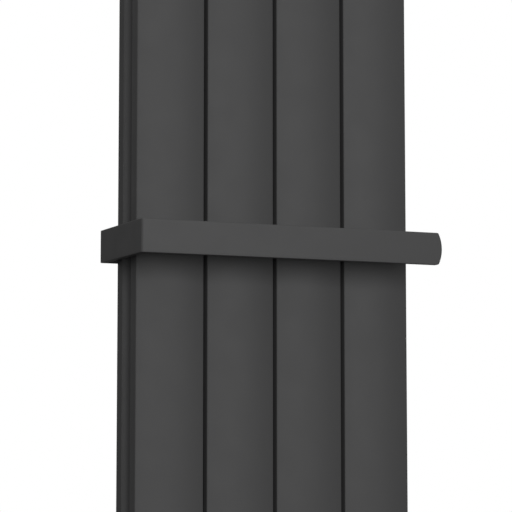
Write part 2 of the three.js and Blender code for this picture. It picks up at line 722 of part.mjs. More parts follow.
// ---------------------------------------------------------------- thermostatic valve

function insertGeometry() {
  const floor = SPRING.back - CLEARANCE;
  const collar = THERMOSTAT_NECK.end + CLEARANCE;
  const front = collar + INSERT.hexHeight;
  return carve(bar(CHAMBER_RADIUS - CLEARANCE, INSERT.back, collar), {
    add: [hexBar(INSERT.flats, collar - HEX_OVERLAP, front)],
    cut: [
      bar(INSERT.guide, INSERT.back - CUT_OVERRUN, front, TINY_SIDES),
      bar(INSERT.bore, floor, front + CUT_OVERRUN, SMALL_SIDES),
    ],
  });
}

// The plug rests on the seat, and the collar takes the push of the return spring.
function pinGeometry() {
  const plugBack = SEAT + CLEARANCE;
  const plugFront = plugBack + PIN.plugThickness;
  const collarBack = SPRING.front + CLEARANCE;
  const collarFront = collarBack + PIN.collarThickness;
  return turned(
    [
      [0, plugBack],
      [PIN.plug, plugBack],
      [PIN.plug, plugFront],
      [PIN.stem, plugFront],
      [PIN.stem, collarBack],
      [PIN.collar, collarBack],
      [PIN.collar, collarFront],
      [PIN.stem, collarFront],
      [PIN.stem, PIN.front],
      [0, PIN.front],
    ],
    SMALL_SIDES,
  );
}

class Helix extends THREE.Curve {
  getPoint(t, target = new THREE.Vector3()) {
    const angle = 2 * Math.PI * SPRING.turns * t;
    const low = SPRING.back + SPRING.wire;
    const high = SPRING.front - SPRING.wire;
    const along = low + (high - low) * t;
    return target.set(SPRING.radius * Math.cos(angle), along, SPRING.radius * Math.sin(angle));
  }
}

function springGeometry() {
  const wire = new THREE.Shape();
  wire.absarc(0, 0, SPRING.wire, 0, 2 * Math.PI, false);
  return new THREE.ExtrudeGeometry(wire, {
    extrudePath: new Helix(),
    steps: SPRING.turns * SPRING_STEPS_PER_TURN,
    curveSegments: HEX_SIDES / 2,
    bevelEnabled: false,
  });
}

function ringNutGeometry() {
  const inner = THERMOSTAT_NECK.radius + CLEARANCE;
  return turned(
    [
      [inner, RING_NUT.back],
      [RING_NUT.radius, RING_NUT.back],
      [RING_NUT.radius, RING_NUT.front],
      [RING_NUT.mouth, RING_NUT.front],
      [RING_NUT.mouth, RING_NUT.lip],
      [inner, RING_NUT.lip],
    ],
    FINE_SIDES,
  );
}

// Lower cage of the head. Its inner tube guides the sensor, and the handwheel runs round the outside.
function headBaseGeometry() {
  const foot = THERMOSTAT_NECK.end + HEAD_FOOT.lift;
  const hubBack = HEAD_CAGE.floor - HEAD_HUB_THICKNESS;
  return turned(
    [
      [HEAD_FOOT.inner, foot],
      [HEAD_FOOT.outer, foot],
      [HEAD_FOOT.outer, foot + HEAD_FOOT.height],
      [HEAD_FOOT.waist, foot + HEAD_FOOT.height],
      [HEAD_FOOT.waist, HEAD_CAGE.back],
      [HEAD_CAGE.shoulder, HEAD_CAGE.back],
      [HEAD_CAGE.radius, HEAD_CAGE.flare],
      [HEAD_CAGE.radius, HEAD_CAGE.front],
      [HEAD_TUBE.outer, HEAD_CAGE.front],
      [HEAD_TUBE.outer, HEAD_TUBE.front],
      [HEAD_TUBE.inner, HEAD_TUBE.front],
      [HEAD_TUBE.inner, HEAD_CAGE.floor],
      [HEAD_CAGE.hub, HEAD_CAGE.floor],
      [HEAD_CAGE.hub, hubBack],
      [HEAD_FOOT.inner, hubBack],
    ],
    FINE_SIDES,
  );
}

function sensorGeometry() {
  return turned([
    [0, SENSOR.back],
    [SENSOR.nose, SENSOR.back],
    [SENSOR.nose, SENSOR.shoulder],
    [SENSOR.radius, SENSOR.shoulder],
    [SENSOR.radius, SENSOR.front],
    [0, SENSOR.front],
  ]);
}

function handwheelGeometry() {
  const cup = turned(
    [
      [0, HANDWHEEL.ceiling],
      [HANDWHEEL.inner, HANDWHEEL.ceiling],
      [HANDWHEEL.inner, HANDWHEEL.back],
      [HANDWHEEL.radius, HANDWHEEL.back],
      [HANDWHEEL.radius, HANDWHEEL.shoulder],
      [HANDWHEEL.nose, HANDWHEEL.front],
      [0, HANDWHEEL.front],
    ],
    2 * HANDWHEEL_GROOVES,
  );
  const low = HANDWHEEL.back + HANDWHEEL_GROOVE.setback;
  const grooves = [];
  for (let i = 0; i < HANDWHEEL_GROOVES; i += 1) {
    const groove = bar(HANDWHEEL_GROOVE.radius, low, HANDWHEEL.front + CUT_OVERRUN, HEX_SIDES);
    groove.translate(0, 0, HANDWHEEL.radius).rotateY((2 * Math.PI * i) / HANDWHEEL_GROOVES);
    grooves.push(groove);
  }
  return carve(cup, { cut: grooves });
}

function addThermostaticValve() {
  const add = valveGroup('thermostat', 0, THERMOSTAT_NECK);
  add('insert', insertGeometry(), brass);
  add('pin', pinGeometry(), steel);
  add('spring', springGeometry(), steel);
  add('ring_nut', ringNutGeometry(), nickel);
  add('head_base', headBaseGeometry(), darkPlastic);
  add('sensor', sensorGeometry(), waxCapsule);
  add('handwheel', handwheelGeometry(), darkPlastic);
}

// ---------------------------------------------------------------- lockshield valve

function bonnetGeometry() {
  const collar = LOCKSHIELD_NECK.end + CLEARANCE;
  const front = collar + BONNET.hexHeight;
  return carve(bar(CHAMBER_RADIUS - CLEARANCE, BONNET.back, collar), {
    add: [hexBar(BONNET.flats, collar - HEX_OVERLAP, front)],
    cut: [bar(BONNET.bore, 0, front + CUT_OVERRUN, SMALL_SIDES)],
  });
}

// Hollow spindle: its thread drives the stem of the cone.
function spindleGeometry() {
  const spindle = turned(
    [
      [0, SPINDLE.boreFront],
      [SPINDLE.bore, SPINDLE.boreFront],
      [SPINDLE.bore, SPINDLE.back],
      [SPINDLE.radius, SPINDLE.back],
      [SPINDLE.radius, SPINDLE.front],
      [0, SPINDLE.front],
    ],
    TINY_SIDES,
  );
  const across = SPINDLE.radius + CUT_OVERRUN;
  const half = SPINDLE_SLOT.width / 2;
  const slot = block([-across, SPINDLE_SLOT.back, -half], [across, SPINDLE.front + CUT_OVERRUN, half]);
  return carve(spindle, { cut: [slot] });
}

function coneGeometry() {
  const back = SEAT + CLEARANCE;
  return turned(
    [
      [0, back],
      [CONE.radius, back],
      [CONE.radius, CONE.front],
      [CONE.stem, CONE.front],
      [CONE.stem, CONE.stemFront],
      [0, CONE.stemFront],
    ],
    TINY_SIDES,
  );
}

function capGeometry() {
  return turned([
    [0, CAP.ceiling],
    [CAP.inner, CAP.ceiling],
    [CAP.inner, CAP.back],
    [CAP.radius, CAP.back],
    [CAP.radius, CAP.shoulder],
    [CAP.nose, CAP.front],
    [0, CAP.front],
  ]);
}

function addLockshieldValve() {
  const add = valveGroup('lockshield', SECTION_COUNT - 1, LOCKSHIELD_NECK);
  add('bonnet', bonnetGeometry(), brass);
  add('spindle', spindleGeometry(), brass);
  add('cone', coneGeometry(), brass);
  add('cap', capGeometry(), darkPlastic);
}

// ---------------------------------------------------------------- assembly

addSections();
addHeads();
addJoints();
addPlugs();
addBrackets();
addRail();
addThermostaticValve();
addLockshieldValve();

export default radiator;
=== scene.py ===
"""Looks of a vertical four-section aluminium radiator with a towel rail and two valves.

Sizes are in millimetres and become metres when a mesh is finished. X runs across the front, the
room is on the -Y side, the wall is the plane Y = 0 and Z = 0 is the underside of the bottom heads.
"""

import json
import math

import bmesh
import bpy
from mathutils import Matrix, Vector


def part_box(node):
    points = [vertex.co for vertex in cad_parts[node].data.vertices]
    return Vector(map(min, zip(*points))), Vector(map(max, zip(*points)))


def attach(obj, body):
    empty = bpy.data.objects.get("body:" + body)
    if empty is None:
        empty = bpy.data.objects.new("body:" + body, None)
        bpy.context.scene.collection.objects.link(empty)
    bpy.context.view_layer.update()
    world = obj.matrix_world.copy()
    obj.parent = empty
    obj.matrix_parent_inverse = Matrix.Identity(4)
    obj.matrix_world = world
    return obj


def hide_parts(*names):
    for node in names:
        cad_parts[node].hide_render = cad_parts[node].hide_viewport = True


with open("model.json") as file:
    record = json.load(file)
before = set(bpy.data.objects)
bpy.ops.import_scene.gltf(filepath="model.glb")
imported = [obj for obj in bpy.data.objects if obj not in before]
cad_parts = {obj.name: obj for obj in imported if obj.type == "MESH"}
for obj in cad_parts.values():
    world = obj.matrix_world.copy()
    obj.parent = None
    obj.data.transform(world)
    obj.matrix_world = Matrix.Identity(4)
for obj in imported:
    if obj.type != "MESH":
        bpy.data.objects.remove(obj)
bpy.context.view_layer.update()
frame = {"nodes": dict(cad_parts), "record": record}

MM = 0.001
scene = bpy.context.scene

# ---------------- sizes, in millimetres

PANEL_WIDTH = 90
SECTION_COUNT = 4
SECTION_DEPTH = 67.5
CROWN = 6
FRONT_LIP = 19
REAR_FLANGE = 18.5
NECK_INSET = 11
PROFILE_WALL = 1.6
FRONT_CORNER = 1.0
LIP_CORNER = 0.6
CHANNEL_CORNER = 5
CHAMBER_CORNER = 1
CROWN_STEPS = 32
FLARE_STEPS = 14

HEAD_HEIGHT = 50
HEAD_EDGE = 2.2
BOSS_RADIUS = 20
BOSS_PROUD = 1.45
BOSS_CHAMFER = 0.6
JOINT_THREAD_RADIUS = 17.1
JOINT_THREAD_DEPTH = 14
TAPPING_RADIUS = 10.5
GASKET_EDGE = 0.5

PLUG = {"radius": 16.5, "length": 12, "flange_radius": 19.5, "flange": 3}
PLUG_EDGE = {"tip": 1.0, "rim": 0.9}
PLUG_KEY = {"size": 5.5, "depth": 6}
VENT = {"radius": 3, "length": 15.5, "proud": 2.2, "edge": 0.6, "slot": 1.0, "slot_depth": 1.2}
SEATING = 0.3
PLUG_FACE = SEATING + PLUG["flange"]
OVERCUT = 1
SLOT_CORNER = 0.1

BRACKET = {"thickness": 3, "width": 30, "height": 80, "corner": 5, "edge": 0.4}
BRACKET_HOLE = {"radius": 3.5, "inset": 12, "offset": 8.5}
HOOK_RADIUS = 20.6
HOOK_ARC = (-30, -136.8)
HOOK_STEPS = 24
HOOK_TIP = {"width": 3, "drop": 8, "edge": 0.8, "corner": 2.5}
HOOK_BELLY = {"run": 12, "below": 10, "corner": 6}
HOOK_SWEEP = {"share": 0.75, "below": 20, "corner": 6}
HOOK_ROOT = 38

RAIL_HEIGHT = 41
RAIL_THICKNESS = 8
RAIL_FOLD = 3.5
RAIL_INNER_FOLD = 0.8
RAIL_EDGE = 0.7
RAIL_END_BULGE = 5
RAIL_END_ROUND = 3
RAIL_ARM_ROUND = 0.9
RAIL_SIDE_STEPS = 16
RAIL_FOLD_STEPS = 10
RAIL_HOLE_RADIUS = 2.4
RAIL_PAD = {"corner": 2, "edge": 0.4}
RAIL_NUT = {"corner": 2.5, "edge": 0.5}
RAIL_SCREW = {"head_radius": 3.6, "head_height": 3, "shank": 2, "key_flats": 3, "key_depth": 2}

ROUND_SEGMENTS = 64
SMALL_SEGMENTS = 40
EDGE_STEPS = 4
SHARP_ANGLE = 34
ON_AXIS = 0.03

half_panel = PANEL_WIDTH / 2
crown_radius = (half_panel ** 2 + CROWN ** 2) / (2 * CROWN)
flange_start = SECTION_DEPTH - REAR_FLANGE
boss_depth = (FRONT_LIP + flange_start) / 2
boss_end = half_panel + BOSS_PROUD


def cad(node):
    """Lowest and highest corner of a CAD node, in millimetres."""
    low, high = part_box(node)
    return low / MM, high / MM


def middle(node):
    low, high = cad(node)
    return (low + high) / 2


section_low, section_high = cad("section_1")
rear_y = section_high.y
front_edge_y = rear_y - SECTION_DEPTH
boss_y = front_edge_y + boss_depth
section_x = [middle(f"section_{i + 1}").x for i in range(SECTION_COUNT)]
gap_x = [(a + b) / 2 for a, b in zip(section_x, section_x[1:])]
top_z = cad("top_head_1")[1].z

# ---------------- outlines


def arc(cx, cy, radius, start, end, steps):
    """Points along an arc between two angles in degrees, both ends included."""
    angles = [math.radians(start + (end - start) * k / steps) for k in range(steps + 1)]
    return [(cx + radius * math.cos(a), cy + radius * math.sin(a)) for a in angles]


def rounded(points, closed=True, steps=EDGE_STEPS):
    """An outline whose corners are rounded. Each point is (x, y) or (x, y, corner radius)."""
    outline = []
    for i, point in enumerate(points):
        corner = Vector(point[:2])
        is_end = not closed and i in (0, len(points) - 1)
        if len(point) < 3 or is_end:
            outline.append(tuple(corner))
            continue
        radius = point[2]
        before = (Vector(points[i - 1][:2]) - corner).normalized()
        after = (Vector(points[(i + 1) % len(points)][:2]) - corner).normalized()
        half = before.angle(after) / 2
        centre = corner + (before + after).normalized() * (radius / math.sin(half))
        reach = radius / math.tan(half)
        first = corner + before * reach - centre
        last = corner + after * reach - centre
        turn = math.atan2(first.cross(last), first.dot(last))
        for k in range(steps + 1):
            outline.append(tuple(centre + Matrix.Rotation(turn * k / steps, 2) @ first))
    return outline


def rectangle(low, high, corner):
    (x0, y0), (x1, y1) = low, high
    return rounded([(x0, y0, corner), (x1, y0, corner), (x1, y1, corner), (x0, y1, corner)])


def circle(cx, cy, radius, segments=32):
    return arc(cx, cy, radius, 0, 360 - 360 / segments, segments - 1)


def inset(outline, distance):
    """An outline moved to the left of its direction, which is inwards if it runs anticlockwise."""
    result = []
    for i, (x, y) in enumerate(outline):
        ahead = outline[(i + 1) % len(outline)]
        before = Vector((x - outline[i - 1][0], y - outline[i - 1][1])).normalized()
        after = Vector((ahead[0] - x, ahead[1] - y)).normalized()
        tangent = (before + after).normalized()
        reach = distance / max(0.5, tangent.dot(before))
        result.append((x - tangent.y * reach, y + tangent.x * reach))
    return result


# ---------------- bodies


def add_band(bm, first, second):
    """Faces between two rings of as many vertices."""
    for k in range(len(first)):
        n = (k + 1) % len(first)
        bm.faces.new((first[k], first[n], second[n], second[k]))


def prism(outline, low, high, holes=(), round_low=0, round_high=0):
    """A body along Z between two heights. The outline runs anticlockwise, and so does each hole.
    The edges round its two ends can be rounded."""
    loops = [outline] + [hole[::-1] for hole in holes]
    quarter = [math.pi / 2 * k / EDGE_STEPS for k in range(EDGE_STEPS + 1)]
    rounding = [(1 - math.sin(a), 1 - math.cos(a)) for a in quarter]
    lower = [(round_low * u, low + round_low * v) for u, v in rounding]
    upper = [(round_high * u, high - round_high * v) for u, v in rounding]
    stations = (lower if round_low else lower[:1]) + (upper[::-1] if round_high else upper[:1])
    bm = bmesh.new()
    rings = []
    for offset, z in stations:
        outlines = [inset(loop, offset) if offset else loop for loop in loops]
        rings.append([[bm.verts.new((x, y, z)) for x, y in loop] for loop in outlines])
    for station, following in zip(rings, rings[1:]):
        for a, b in zip(station, following):
            add_band(bm, a, b)
    for station in (rings[0], rings[-1]):
        edges = [bm.edges.get((a[k], a[(k + 1) % len(a)])) for a in station for k in range(len(a))]
        bmesh.ops.triangle_fill(bm, use_beauty=True, edges=edges)
    return bm


def lathe(profile, segments=ROUND_SEGMENTS, groove=None):
    """A body turned about Y from a profile of (radius, y). A profile that starts and ends off the
    axis closes on itself. groove(angle, radius, y) says how much is taken off the radius there."""
    bm = bmesh.new()
    rings = []
    for radius, y in profile:
        if radius < ON_AXIS:
            rings.append([bm.verts.new((0, y, 0))])
            continue
        ring = []
        for k in range(segments):
            angle = 2 * math.pi * k / segments
            r = radius - (groove(angle, radius, y) if groove else 0)
            ring.append(bm.verts.new((r * math.cos(angle), y, r * math.sin(angle))))
        rings.append(ring)
    pairs = list(zip(rings, rings[1:]))
    if len(rings[0]) > 1 and len(rings[-1]) > 1:
        pairs.append((rings[-1], rings[0]))
    for a, b in pairs:
        for k in range(segments):
            corners = (a[k % len(a)], a[(k + 1) % len(a)], b[(k + 1) % len(b)], b[k % len(b)])
            bm.faces.new(list(dict.fromkeys(corners)))
    return bm


def cylinder(radius, low, high):
    """A plain cylinder along Y."""
    return lathe([(0, low), (radius, low), (radius, high), (0, high)])


def hexagon(flats):
    radius = flats / math.sqrt(3)
    return arc(0, 0, radius, 0, 300, 5)


def moved(bm, *steps):
    """The same body after some matrices, the first one applied first."""
    for step in steps:
        bm.transform(step)
    return bm


def at(x, y, z):
    return Matrix.Translation((x, y, z))


# Places a prism drawn as (x, z), towards the room, and one drawn as (y, z), along X.
FRONT_VIEW = Matrix(((1, 0, 0, 0), (0, 0, -1, 0), (0, 1, 0, 0), (0, 0, 0, 1)))
SIDE_VIEW = Matrix(((0, 0, 1, 0), (1, 0, 0, 0), (0, 1, 0, 0), (0, 0, 0, 1)))
# Stands a body that was made along Z on the Y axis, keeping its direction, and the other way round.
Z_TO_Y = Matrix.Rotation(-math.pi / 2, 4, "X")
Y_TO_Z = Matrix.Rotation(math.pi / 2, 4, "X")
HALF_TURN_ABOUT_Y = Matrix.Rotation(math.pi, 4, "Y")
HALF_TURN_ABOUT_Z = Matrix.Rotation(math.pi, 4, "Z")


def y_to_x(side):
    """Turns a body made along Y so that its Y runs along X, outwards on that side."""
    return Matrix.Rotation(-side * math.pi / 2, 4, "Z")


def add_object(name, data):
    piece = bpy.data.objects.new(name, data)
    scene.collection.objects.link(piece)
    return piece


def evaluated_body(holder):
    """What an object shows, with its modifiers applied or its text as a mesh."""
    evaluated = holder.evaluated_get(bpy.context.evaluated_depsgraph_get())
    mesh = bpy.data.meshes.new_from_object(evaluated)
    bm = bmesh.new()
    bm.from_mesh(mesh)
    bpy.data.meshes.remove(mesh)
    return bm


def combine(operation, base, *others):
    """Joins, cuts or intersects closed bodies: UNION, DIFFERENCE or INTERSECT."""
    helpers = []
    for bm in (base, *others):
        bmesh.ops.recalc_face_normals(bm, faces=bm.faces)
        mesh = bpy.data.meshes.new("helper")
        bm.to_mesh(mesh)
        bm.free()
        helpers.append(add_object("helper", mesh))
    for helper in helpers[1:]:
        modifier = helpers[0].modifiers.new("combine", "BOOLEAN")
        modifier.operation = operation
        modifier.solver = "EXACT"
        modifier.object = helper
    result = evaluated_body(helpers[0])
    for helper in helpers:
        bpy.data.meshes.remove(helper.data)
    return result


# ---------------- materials


def add_node(tree, kind, **values):
    """A shader node with some of its inputs set. An underscore stands for the space in a name."""
    node = tree.nodes.new(f"ShaderNode{kind}")
    for socket, value in values.items():
        node.inputs[socket.replace("_", " ")].default_value = value
    return node


class Shader:
    """A Principled material with the few procedural building blocks that the finishes share."""

    def __init__(self, name, roughness, metallic=0.0, specular=0.5):
        self.material = bpy.data.materials.new(name)
        self.material.use_nodes = True
        self.tree = self.material.node_tree
        self.surface = self.tree.nodes["Principled BSDF"]
        self.surface.inputs["Roughness"].default_value = roughness
        self.surface.inputs["Metallic"].default_value = metallic
        self.surface.inputs["Specular IOR Level"].default_value = specular
        self.place = add_node(self.tree, "TexCoord").outputs["Object"]
        self.normal = None

    def noise(self, grain, detail=2.0, stretch=(1, 1, 1)):
        """Noise whose blotches are about that many millimetres across."""
        mapping = add_node(self.tree, "Mapping", Scale=stretch)
        self.tree.links.new(self.place, mapping.inputs["Vector"])
        noise = add_node(self.tree, "TexNoise", Scale=1 / (grain * MM), Detail=detail)
        self.tree.links.new(mapping.outputs["Vector"], noise.inputs["Vector"])
        return noise.outputs["Fac"]

    def spread(self, value, low, high, start=0.3, end=0.7):
        """Maps a noise value to a range."""
        limits = {"From_Min": start, "From_Max": end, "To_Min": low, "To_Max": high}
        node = add_node(self.tree, "MapRange", **limits)
        self.tree.links.new(value, node.inputs["Value"])
        return node.outputs["Result"]

    def blend(self, factor, first, second):
        """A colour between two, each of them a colour or a socket."""
        node = add_node(self.tree, "Mix")
        node.data_type = "RGBA"
        self.tree.links.new(factor, node.inputs["Factor"])
        for socket, colour in zip((node.inputs[6], node.inputs[7]), (first, second)):
            if isinstance(colour, bpy.types.NodeSocket):
                self.tree.links.new(colour, socket)
            else:
                socket.default_value = (*colour, 1)
        return node.outputs[2]

    def colour(self, socket):
        self.tree.links.new(socket, self.surface.inputs["Base Color"])

    def roughness(self, socket):
        self.tree.links.new(socket, self.surface.inputs["Roughness"])

    def relief(self, height, depth, strength=1.0):
        """Adds a bump that many millimetres deep, on top of any earlier one."""
        node = add_node(self.tree, "Bump", Strength=strength, Distance=depth * MM)
        self.tree.links.new(height, node.inputs["Height"])
        if self.normal:
            self.tree.links.new(self.normal, node.inputs["Normal"])
        self.normal = node.outputs["Normal"]
        self.tree.links.new(self.normal, self.surface.inputs["Normal"])


ANTHRACITE = (0.038, 0.038, 0.0383)
COAT_ROUGHNESS = 0.48
COAT_GLOSS = 0.26


def scaled(colour, factor):
    return tuple(channel * factor for channel in colour)


def powder_coat(name, colour, roughness=COAT_ROUGHNESS, specular=COAT_GLOSS):
    """Matt powder coat: a fine grain, a slow orange peel, and slightly uneven tone and gloss."""
    shader = Shader(name, roughness, specular=specular)
    drift = shader.spread(shader.noise(240, 2), 0, 1)
    speck = shader.spread(shader.noise(0.9, 1), 0, 1)
    tone = shader.blend(drift, scaled(colour, 0.975), scaled(colour, 1.025))
    shader.colour(shader.blend(speck, tone, scaled(colour, 1.06)))
    shader.roughness(shader.spread(shader.noise(35, 3), roughness - 0.03, roughness + 0.03))
    shader.relief(shader.noise(5, 1), 0.02, 0.35)
    shader.relief(shader.noise(0.8, 2), 0.012, 0.4)
    return shader.material


def moulded_plastic(name, colour, roughness=0.55, grain=0.6):
    """Spark-eroded plastic: a crisp fine grain and faint polishing."""
    shader = Shader(name, roughness)
    rubbed = shader.spread(shader.noise(14, 3), 0, 1, 0.35, 0.75)
    shader.colour(shader.blend(rubbed, scaled(colour, 0.94), scaled(colour, 1.1)))
    shader.roughness(shader.spread(shader.noise(9, 3), roughness - 0.07, roughness + 0.05))
    shader.relief(shader.noise(grain, 2), 0.02, 0.6)
    return shader.material


def plated(name, colour, tarnish, roughness=0.3, grain=1.2):
    """Satin plate: cloudy tone, fine directional polish."""
    shader = Shader(name, roughness, metallic=1.0)
    cloud = shader.spread(shader.noise(7, 4), 0, 1, 0.4, 0.8)
    shader.colour(shader.blend(cloud, colour, tarnish))
    shader.roughness(shader.spread(shader.noise(4, 4), roughness - 0.06, roughness + 0.12))
    shader.relief(shader.noise(grain, 3, (0.2, 1, 1)), 0.006, 0.5)
    return shader.material


def turned_metal(name, colour, tarnish, roughness=0.28):
    """Turned metal: fine tool marks and a warm tarnish."""
    shader = Shader(name, roughness, metallic=1.0)
    cloud = shader.spread(shader.noise(5, 4), 0, 1, 0.4, 0.75)
    shader.colour(shader.blend(cloud, colour, tarnish))
    shader.roughness(shader.spread(shader.noise(3, 3), roughness - 0.05, roughness + 0.15))
    shader.relief(shader.noise(0.5, 2, (1, 6, 1)), 0.01, 0.5)
    return shader.material


def fibre(name, colour):
    """Vulcanised fibre: short matted strands."""
    shader = Shader(name, 0.85, specular=0.2)
    strands = shader.spread(shader.noise(0.7, 5, (1, 0.3, 1)), 0, 1)
    shader.colour(shader.blend(strands, scaled(colour, 0.7), scaled(colour, 1.35)))
    shader.roughness(shader.spread(shader.noise(2, 2), 0.78, 0.92))
    shader.relief(shader.noise(0.5, 4), 0.06, 0.8)
    return shader.material


def rubber(name, colour):
    """Matt rubber with a dusty bloom."""
    shader = Shader(name, 0.8, specular=0.3)
    bloom = shader.spread(shader.noise(8, 5), 0, 1, 0.45, 0.8)
    shader.colour(shader.blend(bloom, colour, scaled(colour, 2.2)))
    shader.roughness(shader.spread(shader.noise(3, 3), 0.7, 0.9))
    shader.relief(shader.noise(0.6, 2), 0.03, 0.6)
    return shader.material


SLOT_MATERIALS = {
    "radiator_coat": powder_coat("anthracite powder coat", ANTHRACITE),
    "rail_coat": powder_coat("anthracite rail coat", scaled(ANTHRACITE, 1.08)),
    "fitting_coat": powder_coat("anthracite fitting coat", scaled(ANTHRACITE, 0.95), 0.45),
    "plated_steel": plated("zinc plated steel", (0.55, 0.56, 0.57), (0.42, 0.42, 0.4), 0.36),
    "nickel": plated("satin nickel", (0.62, 0.6, 0.56), (0.52, 0.49, 0.44), 0.26),
    "bare_brass": turned_metal("turned brass", (0.62, 0.46, 0.2), (0.45, 0.3, 0.13)),
    "fibre_gasket": fibre("vulcanised fibre", (0.2, 0.11, 0.06)),
    "black_rubber": rubber("black rubber", (0.015, 0.015, 0.015)),
    "head_plastic": moulded_plastic("textured plastic", (0.065, 0.065, 0.066)),
    "sensor_capsule": moulded_plastic("smooth plastic", (0.68, 0.68, 0.65), 0.4, 1.5),
}

# ---------------- what each node is finished in

COATS = {
    "radiator_coat": ("section", "bottom_head", "top_head", "plug"),
    "rail_coat": ("towel_rail",),
    "fitting_coat": ("_body", "union_nut", "compression_nut"),
    "plated_steel": ("nipple", "bracket", "clamp_nut", "rail_screw", "pin", "spring"),
    "nickel": ("tail", "ring_nut", "vent_screw"),
    "bare_brass": ("olive", "insert", "bonnet", "spindle", "cone"),
    "fibre_gasket": ("gasket",),
    "black_rubber": ("rail_pad",),
    "head_plastic": ("head_base", "handwheel", "cap"),
    "sensor_capsule": ("sensor",),
}


def slot_of(node):
    """The material slot whose longest clue is in the node's name."""
    clues = [(len(clue), slot) for slot, clues in COATS.items() for clue in clues if clue in node]
    return max(clues)[1]


def body_of(node):
    bodies = frame["record"]["behaviour"]["bodies"]
    return next(body for body, nodes in bodies.items() if node in nodes)


def finish_mesh(name, bm, sharp_angle=SHARP_ANGLE):
    """Turns a body in millimetres into a smooth shaded object in metres."""
    bm.transform(Matrix.Scale(MM, 4))
    bmesh.ops.remove_doubles(bm, verts=bm.verts, dist=MM / 1000)
    bmesh.ops.recalc_face_normals(bm, faces=bm.faces)
    mesh = bpy.data.meshes.new(name)
    bm.to_mesh(mesh)
    bm.free()
    mesh.shade_smooth()
    mesh.set_sharp_from_angle(angle=math.radians(sharp_angle))
    return add_object(name, mesh)


def replace(node, bm, sharp_angle=SHARP_ANGLE):
    """Shows a finely made piece for a CAD node, on the node's body and in its finish."""
    piece = finish_mesh(f"{node}_fine", bm, sharp_angle)
    piece.data.materials.append(SLOT_MATERIALS[slot_of(node)])
    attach(piece, body_of(node))
    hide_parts(node)
    return piece


# ---------------- sections and heads


def section_outline():
    """Plan of a section round its own centre line: x across, y back from the front corners."""
    spread = math.degrees(math.asin(half_panel / crown_radius))
    crown = arc(0, crown_radius - CROWN, crown_radius, -90 - spread, -90 + spread, CROWN_STEPS)
    front_flare = arc(half_panel, FRONT_LIP + NECK_INSET, NECK_INSET, -90, -180, FLARE_STEPS)
    rear_flare = arc(half_panel, flange_start - NECK_INSET, NECK_INSET, 180, 90, FLARE_STEPS)
    right = [
        (*crown[-1], FRONT_CORNER),
        (*front_flare[0], LIP_CORNER),
        *front_flare[1:],
        *rear_flare[:-1],
        (*rear_flare[-1], LIP_CORNER),
        (half_panel, SECTION_DEPTH, FRONT_CORNER),
    ]
    left = [(-x, y, *corner) for x, y, *corner in reversed(right)]
    return rounded(left + crown[1:-1] + right)


def section_chambers():
    """The two air chambers and the water channel between them."""
    half = half_panel - PROFILE_WALL
    radius = crown_radius - PROFILE_WALL
    spread = math.degrees(math.asin(half / radius))
    crown = arc(0, crown_radius - CROWN, radius, -90 - spread, -90 + spread, CROWN_STEPS)
    front_back = FRONT_LIP - PROFILE_WALL
    channel_half = half_panel - NECK_INSET - PROFILE_WALL
    channel = rectangle((-channel_half, FRONT_LIP), (channel_half, flange_start), CHANNEL_CORNER)
    rear_low = (-half, flange_start + PROFILE_WALL)
    rear = rectangle(rear_low, (half, SECTION_DEPTH - PROFILE_WALL), CHAMBER_CORNER)
    return [crown + [(half, front_back), (-half, front_back)], channel, rear]


def add_sections():
    for i, x in enumerate(section_x):
        bm = prism(section_outline(), section_low.z, section_high.z, section_chambers())
        replace(f"section_{i + 1}", moved(bm, at(x, front_edge_y, 0)))


def boss_cutter(side):
    """The threaded mouth at one side of a head."""
    mouth = [(0, -JOINT_THREAD_DEPTH), (JOINT_THREAD_RADIUS, -JOINT_THREAD_DEPTH)]
    rim_radius = JOINT_THREAD_RADIUS + 2 * BOSS_CHAMFER
    rim = [(JOINT_THREAD_RADIUS, -BOSS_CHAMFER), (rim_radius, BOSS_CHAMFER)]
    bm = lathe([*mouth, *rim, (0, BOSS_CHAMFER)])
    return moved(bm, y_to_x(side), at(side * boss_end, 0, 0))


def head(has_tapping):
    """A bottom head round its own centre line, with a boss for the joint to each neighbour."""
    shell = prism(section_outline(), 0, HEAD_HEIGHT, round_low=HEAD_EDGE)
    rim = boss_end - BOSS_CHAMFER
    boss = lathe([
        (0, -boss_end),
        (BOSS_RADIUS - BOSS_CHAMFER, -boss_end),
        (BOSS_RADIUS, -rim),
        (BOSS_RADIUS, rim),
        (BOSS_RADIUS - BOSS_CHAMFER, boss_end),
        (0, boss_end),
    ])
    to_axis = at(0, boss_depth, HEAD_HEIGHT / 2)
    joined = combine("UNION", shell, moved(boss, y_to_x(1), to_axis))
    cutters = [moved(boss_cutter(side), to_axis) for side in (-1, 1)]
    if has_tapping:
        bore = prism(circle(0, 0, TAPPING_RADIUS, ROUND_SEGMENTS), -HEAD_HEIGHT, 0)
        cutters.append(moved(bore, to_axis))
    return combine("DIFFERENCE", joined, *cutters)


def add_heads():
    for i, x in enumerate(section_x):
        is_end = i in (0, SECTION_COUNT - 1)
        place = at(x, front_edge_y, 0)
        replace(f"bottom_head_{i + 1}", moved(head(is_end), place))
        top = moved(head(False), HALF_TURN_ABOUT_Y, at(x, front_edge_y, top_z))
        replace(f"top_head_{i + 1}", top)


def add_gaskets():
    for level in ("bottom", "top"):
        for i, x in enumerate(gap_x):
            node = f"{level}_gasket_{i + 1}"
            low, high = cad(node)
            half = (high.x - low.x) / 2
            outer = (high.z - low.z) / 2
            ring = lathe(rounded([
                (JOINT_THREAD_RADIUS + SEATING, -half),
                (outer, -half, GASKET_EDGE),
                (outer, half, GASKET_EDGE),
                (JOINT_THREAD_RADIUS + SEATING, half),
            ]))
            place = at(x, boss_y, (low.z + high.z) / 2)
            replace(node, moved(ring, y_to_x(1), place))


